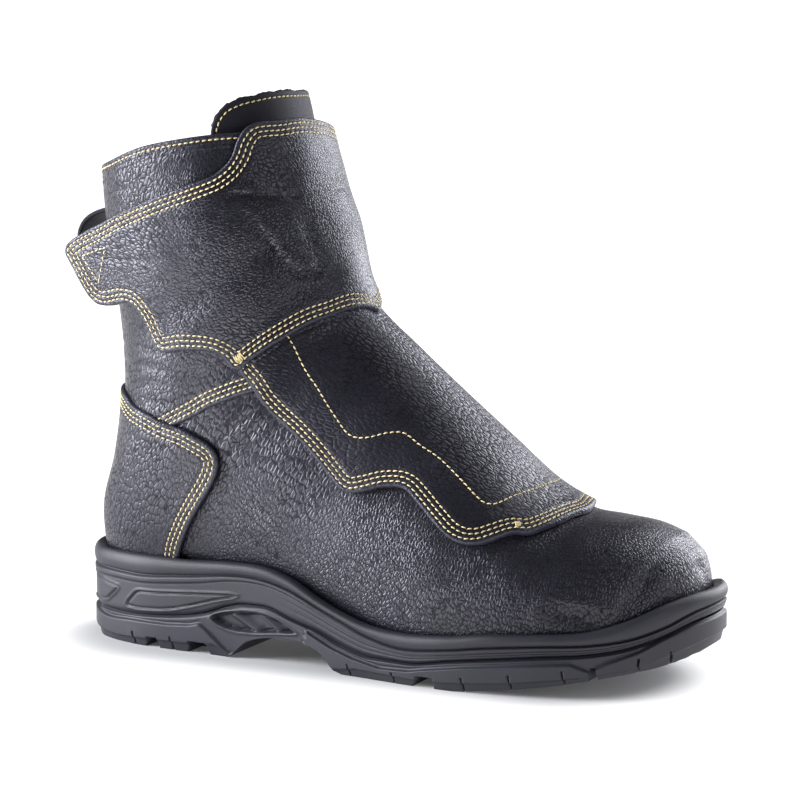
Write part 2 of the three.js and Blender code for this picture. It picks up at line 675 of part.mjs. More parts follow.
// The origin is the spot on the floor where the heel rests.
boot.position.x = -REST_SPOTS.heel * SOLE_LENGTH;

export default boot;
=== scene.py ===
"""Looks of the foundry safety boot: leather, flaps, seams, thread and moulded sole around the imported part.

Lengths are millimetres in the shoe's own frame, with the heel's back at X = 0, the outer side at -Y and
the floor at Z = 0. They become metres in the part's frame only where a mesh is made.
"""

import math

import bpy
import numpy as np
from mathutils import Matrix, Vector
from mathutils.geometry import delaunay_2d_cdt
from mathutils.kdtree import KDTree


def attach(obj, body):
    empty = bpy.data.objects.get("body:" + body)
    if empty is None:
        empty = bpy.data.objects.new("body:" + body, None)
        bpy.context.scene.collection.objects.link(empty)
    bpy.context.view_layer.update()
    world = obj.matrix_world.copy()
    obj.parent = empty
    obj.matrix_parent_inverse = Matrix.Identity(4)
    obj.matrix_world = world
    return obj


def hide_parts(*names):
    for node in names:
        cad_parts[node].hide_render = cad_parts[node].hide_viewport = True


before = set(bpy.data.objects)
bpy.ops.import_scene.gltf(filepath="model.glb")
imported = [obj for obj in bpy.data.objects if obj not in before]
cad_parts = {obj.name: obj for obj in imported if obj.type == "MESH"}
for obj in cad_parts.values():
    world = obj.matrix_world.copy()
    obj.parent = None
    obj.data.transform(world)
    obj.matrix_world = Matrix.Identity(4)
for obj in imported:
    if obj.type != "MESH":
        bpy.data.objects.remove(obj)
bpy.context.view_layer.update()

# Driving dimensions, the same as the part's
SOLE_LENGTH = 305
SOLE_WIDTH = 112
BOOT_HEIGHT = 256
RIM_HEIGHT = 43
UPPER_WALL = 2.2
SHAFT_LAP = 1
COUNTER_THICKNESS = 1.7
INSTEP_FLAP_THICKNESS = 3
SHAFT_FLAP_THICKNESS = 3.7
TAB_ANGLE = 14
TONGUE_THICKNESS = 2.6
LOOP_WIDTH = 22
LOOP_THICKNESS = 2.2
GAP = 0.3
HEEL_REST = 0.11  # of the length: the origin of the part's frame

COUNTER_FACE = SHAFT_LAP + GAP + COUNTER_THICKNESS
INSTEP_FLAP_FACE = GAP + INSTEP_FLAP_THICKNESS
SHAFT_FLAP_FACE = SHAFT_LAP + GAP + SHAFT_FLAP_THICKNESS
TONGUE_FACE = -UPPER_WALL - 2 * GAP
MM = 0.001

# Sections of the form, from the toe tip over the instep and up the shaft. Columns: top along and up, low
# along and up, outer side, inner side and ridge across, where it is widest, fullness of both curves.
SECTIONS = [
    [0.977, 0.16, 0.977, 0.16, 0.08, 0.08, 0.08, 0.45, 2.2, 2.8],
    [0.973, 0.196, 0.972, 0.109, -0.04, 0.19, 0.08, 0.42, 2.2, 3.2],
    [0.957, 0.23, 0.956, 0.082, -0.14, 0.29, 0.08, 0.4, 2.3, 3.6],
    [0.931, 0.252, 0.928, 0.068, -0.23, 0.37, 0.07, 0.38, 2.4, 4],
    [0.892, 0.268, 0.889, 0.059, -0.32, 0.42, 0.07, 0.36, 2.4, 4],
    [0.839, 0.276, 0.839, 0.051, -0.38, 0.45, 0.06, 0.34, 2.4, 4],
    [0.787, 0.285, 0.78, 0.043, -0.43, 0.46, 0.06, 0.3, 2.3, 4],
    [0.728, 0.325, 0.711, 0.039, -0.46, 0.44, 0.05, 0.27, 2.2, 4],
    [0.666, 0.391, 0.633, 0.039, -0.46, 0.4, 0.05, 0.24, 2.1, 4],
    [0.607, 0.452, 0.551, 0.037, -0.44, 0.36, 0.04, 0.24, 2.1, 3.6],
    [0.551, 0.508, 0.466, 0.059, -0.41, 0.33, 0.04, 0.27, 2.1, 3.2],
    [0.508, 0.553, 0.38, 0.074, -0.38, 0.33, 0.03, 0.32, 2.1, 3],
    [0.474, 0.588, 0.289, 0.09, -0.37, 0.33, 0.02, 0.38, 2.1, 3],
    [0.452, 0.617, 0.197, 0.08, -0.36, 0.33, 0.01, 0.45, 2.1, 3],
    [0.443, 0.645, 0.11, 0.08, -0.36, 0.33, 0.01, 0.51, 2.1, 2.9],
    [0.436, 0.668, 0.046, 0.115, -0.36, 0.34, 0, 0.54, 2.1, 2.7],
    [0.43, 0.691, 0.026, 0.215, -0.36, 0.34, 0, 0.54, 2.1, 2.5],
    [0.424, 0.717, 0.046, 0.309, -0.37, 0.35, 0, 0.54, 2.1, 2.4],
    [0.418, 0.742, 0.056, 0.398, -0.38, 0.36, 0, 0.54, 2.1, 2.2],
    [0.41, 0.77, 0.059, 0.488, -0.38, 0.38, 0, 0.54, 2.1, 2.2],
    [0.4, 0.797, 0.056, 0.574, -0.4, 0.38, 0, 0.54, 2.1, 2.2],
    [0.39, 0.824, 0.046, 0.664, -0.41, 0.39, 0, 0.54, 2.1, 2.2],
    [0.38, 0.859, 0.034, 0.754, -0.41, 0.4, 0, 0.54, 2.1, 2.2],
    [0.365, 0.914, 0.028, 0.848, -0.41, 0.4, 0, 0.54, 2.1, 2.2],
    [0.341, 1.023, 0.023, 0.957, -0.4, 0.39, 0, 0.54, 2.1, 2.2],
]
SECTION_UNITS = [
    SOLE_LENGTH, BOOT_HEIGHT, SOLE_LENGTH, BOOT_HEIGHT, SOLE_WIDTH, SOLE_WIDTH, SOLE_WIDTH, 1, 1, 1,
]

# Outline of the sole in plan. Columns: along the length, outer edge, inner edge.
SOLE_OUTLINE = [
    [0, -0.03, -0.03],
    [0.003, -0.115, 0.08],
    [0.016, -0.19, 0.16],
    [0.039, -0.26, 0.24],
    [0.082, -0.32, 0.31],
    [0.131, -0.357, 0.35],
    [0.197, -0.375, 0.357],
    [0.279, -0.385, 0.34],
    [0.361, -0.402, 0.322],
    [0.443, -0.43, 0.33],
    [0.525, -0.465, 0.365],
    [0.607, -0.495, 0.41],
    [0.672, -0.505, 0.455],
    [0.738, -0.495, 0.487],
    [0.803, -0.46, 0.491],
    [0.859, -0.41, 0.47],
    [0.908, -0.34, 0.43],
    [0.948, -0.25, 0.366],
    [0.974, -0.152, 0.304],
    [0.99, -0.062, 0.232],
    [1, 0.08, 0.08],
]

# Lines along the sole's side, as shares of the rim's height at the heel. Columns: along, then each line.
SOLE_LINES = ["rim", "groove", "ledge", "floor", "tread"]
SOLE_HEIGHTS = [
    [0, 1.01, 0.8, 0.337, 0.558, 0.07],
    [0.026, 1, 0.79, 0.333, 0.558, 0],
    [0.079, 1, 0.79, 0.33, 0.558, 0],
    [0.131, 1, 0.784, 0.34, 0.558, 0],
    [0.197, 1, 0.82, 0.38, 0.57, 0],
    [0.246, 1.01, 0.853, 0.442, 0.605, 0],
    [0.285, 1.023, 0.884, 0.54, 0.64, 0],
    [0.321, 1.028, 0.895, 0.59, 0.672, 0.186],
    [0.361, 1.007, 0.874, 0.586, 0.67, 0.267],
    [0.403, 0.92, 0.802, 0.488, 0.58, 0.28],
    [0.449, 0.763, 0.67, 0.4, 0.484, 0.22],
    [0.492, 0.647, 0.558, 0.29, 0.377, 0],
    [0.541, 0.558, 0.437, 0.223, 0.309, 0],
    [0.6, 0.53, 0.372, 0.223, 0.302, 0],
    [0.672, 0.563, 0.42, 0.298, 0.367, 0],
    [0.728, 0.614, 0.477, 0.349, 0.43, 0.042],
    [0.8, 0.64, 0.523, 0.405, 0.488, 0.107],
    [0.866, 0.68, 0.547, 0.442, 0.526, 0.186],
    [0.918, 0.79, 0.6, 0.505, 0.588, 0.256],
    [0.957, 0.92, 0.698, 0.605, 0.688, 0.307],
    [0.984, 0.985, 0.81, 0.698, 0.777, 0.372],
    [1, 1, 0.85, 0.733, 0.802, 0.42],
]

# Edges of the leather pieces as points on the boot: along, across and up in millimetres.
SHAFT_FLAP_EDGE = [
    [145, 0, 157], [143, -5, 159], [139, -15, 159], [133, -24, 156], [126, -31, 153], [118, -36, 148],
    [109, -40, 142], [101, -43, 136], [97, -43, 132.5], [93, -43, 132], [89, -44, 136.5],
    [82, -46, 139.5], [70, -47, 139.5], [58, -46, 138], [54, -45, 139.5], [50, -45, 145],
    [46, -44, 153], [42, -44, 157.5], [36, -45, 158.5], [26, -43, 157], [20, -42, 157],
    [15, -41, 160], [10, -40, 166], [5, -38, 174], [1, -37, 180.5], [2, -37, 184], [6, -38, 187],
    [14, -41, 191], [24, -43, 195], [32, -45, 198.5], [44, -48, 203], [61, -51, 209], [76, -50, 214],
    [86, -48, 218], [91, -46, 222], [94, -44, 227], [95.5, -42, 233], [97.5, -39, 238], [101, -36, 241],
    [108, -25, 242], [112, -15, 243], [114, -2, 242], [112, 18, 239], [104, 33, 237],
    [95, 40, 236], [80, 44, 234], [66, 45, 231], [62, 45, 226], [60, 43, 180], [62, 41, 135],
    [64, 40, 129], [70, 40, 128], [90, 39, 131], [101, 38, 136], [112, 36, 144], [126, 28, 153],
    [136, 17, 158],
]
INSTEP_FLAP_EDGE = [
    [150, 0, 164], [142, -16, 164], [130, -28, 160], [116, -37, 153], [104, -41, 144], [95, -43, 138],
    [94.5, -43, 134], [100, -43, 126], [106, -43, 118], [116, -42, 109], [131, -43, 97],
    [140, -45, 88.5], [146, -46, 83], [151, -46, 81], [158, -45, 82], [169, -44, 85],
    [177, -43, 84.5], [183, -44, 80], [192, -46, 72], [200, -48, 66], [207, -48, 63.5],
    [214, -47, 64], [221, -43, 66.5], [227, -38, 68.5], [233, -35, 69], [237, -31, 71], [241, -22, 73],
    [244, -10, 75], [246, 2, 75.5], [244, 14, 75], [240, 26, 73], [234, 36, 70], [224, 42, 66],
    [214, 45, 64], [207, 46, 63.5], [200, 46, 66], [192, 44, 72], [183, 42, 80],
    [177, 41, 84.5], [169, 40, 85], [158, 40, 82], [151, 40, 81], [146, 39, 83], [140, 38, 88.5],
    [131, 36, 97], [116, 36, 109], [106, 37, 118], [100, 38, 126], [95, 38, 134], [96, 38, 138],
    [104, 37, 144], [116, 34, 153], [130, 26, 160], [142, 15, 164],
]
# The counter's edge on the outer side, from the middle of the heel and back to it
COUNTER_EDGE = [
    [8, 0, 119], [13, -15, 118.5], [20, -25, 117], [28, -31, 115.5], [34, -36, 112.5], [46, -41, 109],
    [58, -42, 105], [69, -43, 102], [77, -43, 98.5], [82.5, -43, 94.5], [84.5, -43, 89.5],
    [83.5, -43, 84], [80, -42, 77], [76, -42, 71], [70, -41, 62], [66, -39, 55], [62, -36, 47],
    [59, -34, 38], [57, -34, 34], [40, -33, 33], [22, -25, 33], [12, -14, 33], [8, 0, 33],
]
SHAFT_EDGE = [
    [143, -14, 138], [125, -30, 131], [110, -38, 125], [101, -40, 122], [91, -41, 118.5],
    [80, -42, 114], [71, -42, 109], [62, -42, 104.5], [46, -41, 96], [30, -34, 90], [18, -20, 86],
    [13, 0, 85], [18, 20, 86], [30, 33, 90], [46, 37, 96], [62, 37, 104.5], [71, 37, 109],
    [80, 37, 114], [91, 37, 118.5], [101, 37, 122], [110, 35, 125], [125, 29, 131], [143, 14, 138],
    [149, 14, 142], [143, 14, 151], [134, 14, 165], [126, 14, 183], [121, 14, 200], [114, 14, 220],
    [109, 14, 235], [107, 16, 238], [98, 33, 237], [84, 42, 236], [70, 44, 234], [48, 44, 230],
    [26, 33, 223], [13, 17, 220], [8.5, 0, 219], [13, -17, 220], [26, -34, 223], [48, -45, 230],
    [70, -46, 234], [84, -44, 236], [98, -33, 237], [107, -16, 238], [109, -14, 235],
    [114, -14, 220], [121, -14, 200], [126, -14, 183], [134, -14, 165], [143, -14, 151],
    [149, -14, 142],
]
# The tongue's upper edge up to its middle and lower edge down to it
TONGUE_TOP = [
    [80, -38, 200], [80, -38, 230], [80, -38, 238], [82, -38, 243.5], [85.5, -37, 248],
    [91, -33, 251.5], [98, -25, 254], [103, -15, 255.5], [106, 0, 256],
]
TONGUE_FOOT = [[98, 36, 160], [116, 33, 124], [140, 24, 119], [158, 10, 122], [165, 0, 124]]
PAD_STITCH = [
    [114, -37, 150], [117, -36, 147], [123, -35, 136], [130, -36, 127], [137, -37, 118],
    [143, -38, 111], [147, -39, 107], [151, -39, 105], [157, -38, 105], [165, -35, 107],
    [171, -32, 107], [175, -32, 105.5], [179, -32, 102.5], [189, -32, 97], [200, -33, 88],
    [208, -34.5, 81.5], [212, -35, 79.5], [216, -33, 79], [221, -24, 81.5], [226, -10, 83.5],
    [227, 2, 84], [227, 10.4, 83.8], [225, 19, 83],
]
TAB_TRIANGLE = [[12.4, -39.8, 179.6], [27.2, -43.5, 184.4], [21.7, -42.1, 167.8]]

# How finely the meshes are made
FORM_ROWS = 385
FORM_SIDE_COLUMNS = 161
SPAN_POINTS = 14  # from one point of an edge's table to the next
EDGE_PITCH = 1.15
FIELD_SPACING = 1.5
SOLE_PITCH = 0.85
SOLE_SPACING = 4  # of the points inside the sole's flat faces
TREAD_SPACING = 3

# The flap's leaf: where along the shoe it leaves the form, and the length over which it turns away
LEAF_FROM = 47
LEAF_TURN = 9

# Leather edges: the share of the thickness that is rounded off, and how much thickness counts at most
EDGE_ROUNDING = 0.42
ROUNDED_MOST = 2.2
# Channels that the rows of stitches press into the leather
CHANNEL_DEPTH = 0.26
CHANNEL_WIDTH = 0.5
SWELL = 0.12  # rise of the band that the rows of stitches hold down
# Frayed edges, as shares of a piece's fray
SLOW_FRAY = 0.6
FINE_FRAY = 0.25

# Thread
STITCH_PITCH = 2.8
DASH = 2.0
DASH_LEAN = 0.12  # how far each end lies beside the row
DASH_RISE = [-0.16, 0.16, 0.27, 0.16, -0.16]
DASH_RADII = [0.62, 0.95, 1.05, 0.95, 0.62]
TACK_RISE = [-0.2, 0.25, 0.42, 0.48, 0.42, 0.25, -0.2]
THREAD = 0.3  # radius
THREAD_SIDES = 6
STITCH_ROWS = [2.3, 4.5, 6.7]  # from a raw edge
TONGUE_STITCH = 3
COLLAR_STITCH = 2.4
ROW_SINK = 0.12  # of the rows along an edge, in their channels
LINE_SINK = 0.05  # of a single row on the field
RUN_PITCH = 0.7  # of the points that a row follows


def metres(points):
    """Points of the shoe's frame in millimetres as metres in the part's frame."""
    moved = np.asarray(points, float) - [HEEL_REST * SOLE_LENGTH, 0, 0]
    return moved * MM


def there_and_back(points):
    """Points of one side up to the middle, then the same on the other side."""
    return points + [[x, -y, z] for x, y, z in reversed(points[:-1])]


def unit(vectors):
    return vectors / np.maximum(np.linalg.norm(vectors, axis=-1, keepdims=True), 1e-9)


def smoothstep(low, high, value):
    share = np.clip((value - low) / (high - low), 0, 1)
    return share * share * (3 - 2 * share)


# The form

sections = np.array(SECTIONS) * np.array(SECTION_UNITS, float)


def section_run():
    before = sections[1].copy()
    mirrored = [1, 3, 4, 5]
    before[mirrored] = 2 * sections[0][mirrored] - sections[1][mirrored]
    return np.vstack([before, sections, 2 * sections[-1] - sections[-2]])


def sections_at(places):
    run = section_run()
    rows = np.clip(np.floor(places).astype(int), 0, len(sections) - 2)
    share = (places - rows)[:, None]
    before, start, end, after = (run[rows + step] for step in range(4))
    turn = 2 * before - 5 * start + 4 * end - after
    bend = 3 * (start - end) + after - before
    return start + 0.5 * share * (end - before + share * (turn + share * bend))


def form_ring(section, turns):
    """Points of one section at turns from the ridge down the outer side, under and up the inner side."""
    top_x, top_z, low_x, low_z, outer, inner, ridge, widest, top_curve, low_curve = section
    middle_x = low_x + (top_x - low_x) * widest
    middle_z = low_z + (top_z - low_z) * widest
    up, out = np.cos(turns), np.sin(turns)
    power = 2 / np.where(up >= 0, top_curve, low_curve)
    reach = np.abs(up) ** power
    half = np.where(out >= 0, ridge - outer, inner - ridge)
    end_x = np.where(up >= 0, top_x, low_x)
    end_z = np.where(up >= 0, top_z, low_z)
    return np.stack(
        [
            middle_x + (end_x - middle_x) * reach,
            ridge - np.sign(out) * np.abs(out) ** power * half,
            middle_z + (end_z - middle_z) * reach,
        ],
        axis=-1,
    )


def run_lengths(points):
    """How far each point lies along a run."""
    return np.concatenate([[0], np.cumsum(np.linalg.norm(np.diff(points, axis=0), axis=1))])


def at_marks(marks, lengths, points):
    """Points at given lengths along a run."""
    return np.stack([np.interp(marks, lengths, column) for column in points.T], axis=1)


def spread_evenly(points, count):
    """A polyline resampled to a number of evenly spaced points."""
    lengths = run_lengths(points)
    return at_marks(np.linspace(0, lengths[-1], count), lengths, points)


def band_faces(rings, count, start=0):
    """The faces between rings of points, one after the other, with the same count in each."""
    faces = []
    for first in range(start, start + (rings - 1) * count, count):
        for side in range(count):
            a, b = first + side, first + (side + 1) % count
            faces.append((a, a + count, b + count, b))
    return faces


class Surface:
    """A grid of points and normals with two coordinates: place along the sections and side, which runs
    from 0 at the ridge to 1 at the low line down the outer side, and to -1 down the inner side."""

    def __init__(self, points):
        self.points = points
        self.rows, self.columns = points.shape[:2]
        along = np.gradient(points, axis=0)
        around = np.gradient(points, axis=1)
        # the first and last column are the same line
        around[:, 0] = around[:, -1] = points[:, 1] - points[:, -2]
        self.normals = unit(np.cross(along, around))
        self.scale_place = (self.rows - 1) / (len(sections) - 1)
        self.scale_side = (self.columns - 1) / 2

    def look_up(self, grid, place, side):
        side = (np.asarray(side, float) + 1) % 2 - 1
        row = np.clip(np.asarray(place, float) * self.scale_place, 0, self.rows - 1.001)
        column = np.clip((side + 1) * self.scale_side, 0, self.columns - 1.001)
        r, c = np.floor(row).astype(int), np.floor(column).astype(int)
        fr, fc = (row - r)[..., None], (column - c)[..., None]
        near = grid[r, c] * (1 - fc) + grid[r, c + 1] * fc
        far = grid[r + 1, c] * (1 - fc) + grid[r + 1, c + 1] * fc
        return near * (1 - fr) + far * fr

    def at(self, place, side, offset=0):
        point = self.look_up(self.points, place, side)
        if np.isscalar(offset) and offset == 0:
            return point
        return point + self.normal(place, side) * np.asarray(offset)[..., None]

    def normal(self, place, side):
        return unit(self.look_up(self.normals, place, side))

    def locate(self, targets, offset=0):
        """Coordinates of the points of the surface, grown by an offset, that are nearest to the targets."""
        grown = self.points + self.normals * offset
        flat = grown.reshape(-1, 3)
        tree = KDTree(len(flat))
        for index in range(0, len(flat), 3):
            tree.insert(flat[index], index)
        tree.balance()
        found = []
        for target in targets:
            _, index, _ = tree.find(Vector(target))
            place = (index // self.columns) / self.scale_place
            side = (index % self.columns) / self.scale_side - 1
            for _ in range(6):
                place, side = self.step_towards(place, side, np.asarray(target, float), offset)
            found.append((place, side))
        return np.array(found)

    def slopes(self, place, side, offset=0):
        step_place, step_side = 0.5 / self.scale_place, 0.5 / self.scale_side
        along = self.at(place + step_place, side, offset) - self.at(place - step_place, side, offset)
        around = self.at(place, side + step_side, offset) - self.at(place, side - step_side, offset)
        return along / (2 * step_place), around / (2 * step_side)

    def step_towards(self, place, side, target, offset=0):
        away = target - self.at(place, side, offset)
        along, around = self.slopes(place, side, offset)
        a, b, c = np.sum(along * along, -1), np.sum(along * around, -1), np.sum(around * around, -1)
        p, q = np.sum(along * away, -1), np.sum(around * away, -1)
        det = np.maximum(a * c - b * b, 1e-9)
        place = place + (c * p - b * q) / det
        side = side + (a * q - b * p) / det
        return np.clip(place, 0.02, len(sections) - 1.02), side


def make_form():
    turns = np.linspace(0, np.pi, 1200)
    rows = []
    for section in sections_at(np.linspace(0.0, len(sections) - 1, FORM_ROWS)):
        outer = spread_evenly(form_ring(section, turns), FORM_SIDE_COLUMNS)
        inner = spread_evenly(form_ring(section, -turns), FORM_SIDE_COLUMNS)
        rows.append(np.vstack([inner[::-1], outer[1:]]))
    return Surface(np.array(rows))


form = make_form()


def make_leaf_form():
    """The form, with its outer side carried on behind the shaft as the flap's free leaf."""
    points = form.points.copy()
    middle = (form.columns - 1) // 2
    heading = np.radians(TAB_ANGLE)
    for row in points:
        outer = row[middle:]
        behind = np.flatnonzero(outer[:, 0] < LEAF_FROM)
        if len(behind) == 0 or behind[0] < 2:
            continue
        first = behind[0]
        steps = np.linalg.norm(np.diff(outer, axis=0), axis=1)
        start = unit(outer[first] - outer[first - 1])
        end = unit(np.array([-math.cos(heading), math.sin(heading), start[2]]))
        place, run = outer[first].copy(), 0.0
        for index in range(first + 1, len(outer)):
            run += steps[index - 1]
            direction = unit(start + (end - start) * smoothstep(0, LEAF_TURN, run))
            place = place + direction * steps[index - 1]
            outer[index] = place
    surface = Surface(points)
    # the leaf's own end isn't joined to the inner side
    surface.normals[:, -1] = surface.normals[:, -2]
    return surface


leaf_form = make_leaf_form()

# Curves on a surface


# Which of four knots each blend of the curve runs between, in three rounds
KNOT_SPANS = [[(0, 1), (1, 2), (2, 3)], [(0, 2), (1, 3)], [(1, 2)]]


def smooth_run(points, closed):
    """A centripetal curve through points of any number of columns."""
    points = np.asarray(points, float)
    if closed:
        run = np.vstack([points[-1], points, points[0], points[1]])
    else:
        run = np.vstack([2 * points[0] - points[1], points, 2 * points[-1] - points[-2]])
    out = []
    for index in range(1, len(run) - 2):
        level = list(run[index - 1:index + 3])
        knots = [0.0]
        for start, end in zip(level, level[1:]):
            knots.append(knots[-1] + max(np.linalg.norm(end - start), 1e-6) ** 0.5)
        t = np.linspace(knots[1], knots[2], SPAN_POINTS, endpoint=False)[:, None]
        for spans in KNOT_SPANS:
            level = [
                (knots[b] - t) / (knots[b] - knots[a]) * low + (t - knots[a]) / (knots[b] - knots[a]) * high
                for (a, b), low, high in zip(spans, level, level[1:])
            ]
        out.append(level[0])
    if not closed:
        out.append(points[-1:])
    return np.vstack(out)


class Chart:
    """Part of a surface with its two coordinates, place and side, stretched to about millimetres."""

    units = np.array([14.0, 100.0])  # millimetres from one section to the next and to half a ring

    def __init__(self, surface, around_side):
        self.surface = surface
        self.around_side = around_side

    def place_points(self, points, offset):
        found = self.surface.locate(points, offset)
        side = found[:, 1]
        for index in range(len(side)):
            near = self.around_side if index == 0 else side[index - 1]
            side[index] += 2 * np.round((near - side[index]) / 2)
        return found * self.units

    def at(self, flat, offset=0):
        return self.surface.at(*(flat / self.units).T, offset)

    def normal(self, flat):
        return self.surface.normal(*(flat / self.units).T)

    def walk(self, flat, direction, length):
        """Points moved a length along the surface, each in its own direction."""
        flat, direction = flat.copy(), direction.copy()
        steps = max(1, int(np.ceil(abs(length) / 0.8)))
        for _ in range(steps):
            place, side = (flat / self.units).T
            normal = self.surface.normal(place, side)
            direction = unit(direction - normal * np.sum(direction * normal, -1, keepdims=True))
            target = self.surface.at(place, side) + direction * (length / steps)
            place, side = self.surface.step_towards(place, side, target)
            flat = np.stack([place, side], -1) * self.units
        return flat

    def even(self, flat, pitch, closed):
        """A run resampled to an even pitch measured on the surface."""
        loop = np.vstack([flat, flat[:1]]) if closed else flat
        lengths = run_lengths(self.at(loop))
        count = max(3, int(round(lengths[-1] / pitch)))
        marks = np.linspace(0, lengths[-1], count + 1)
        if closed:
            marks = marks[:-1]
        return at_marks(marks, lengths, loop)

    def inward(self, flat, closed):
        """The direction to the left of a run, along the surface."""
        points = self.at(flat)
        if closed:
            ahead, behind = np.roll(points, -1, axis=0), np.roll(points, 1, axis=0)
        else:
            ahead, behind = np.vstack([points[1:], points[-1:]]), np.vstack([points[:1], points[:-1]])
        return unit(np.cross(self.normal(flat), unit(ahead - behind)))


def turned_left(flat):
    """A closed run in the order that has its inside to the left."""
    area = np.sum(flat[:, 0] * np.roll(flat[:, 1], -1) - np.roll(flat[:, 0], -1) * flat[:, 1])
    return flat if area > 0 else flat[::-1]


def tree_of(points):
    tree = KDTree(len(points))
    for index, point in enumerate(points):
        tree.insert(point, index)
    tree.balance()
    return tree


def nearest_lengths(tree, points):
    return np.array([tree.find(point)[2] for point in points])


def inside(flat, loop):
    """Whether each point lies inside a closed run."""
    x, y = flat[:, 0], flat[:, 1]
    result = np.zeros(len(flat), bool)
    ax, ay = loop[:, 0], loop[:, 1]
    bx, by = np.roll(ax, -1), np.roll(ay, -1)
    for x0, y0, x1, y1 in zip(ax, ay, bx, by):
        if y0 == y1:
            continue
        crosses = (y0 > y) != (y1 > y)
        result ^= crosses & (x < (x1 - x0) * (y - y0) / (y1 - y0) + x0)
    return result


def offset_run(chart, flat, distance, closed, border_tree):
    """A run moved inwards by a distance, without the stretches where it would double back."""
    moved = chart.walk(flat, chart.inward(flat, closed), distance)
    return moved[nearest_lengths(border_tree, chart.at(moved)) > 0.965 * distance]


# Distance from the edge, in rows from the cut edge to the field: close together at the stitches
EDGE_ROWS = [0.12, 0.4, 0.9, 1.5, 1.95, 2.3, 2.65, 3.4, 4.15, 4.5, 4.85, 5.6, 6.35, 6.7, 7.05, 7.8, 9]
TONGUE_EDGE_ROWS = [0.12, 0.4, 0.9, 1.5, 2.3, 3, 3.7, 4.6, 6]


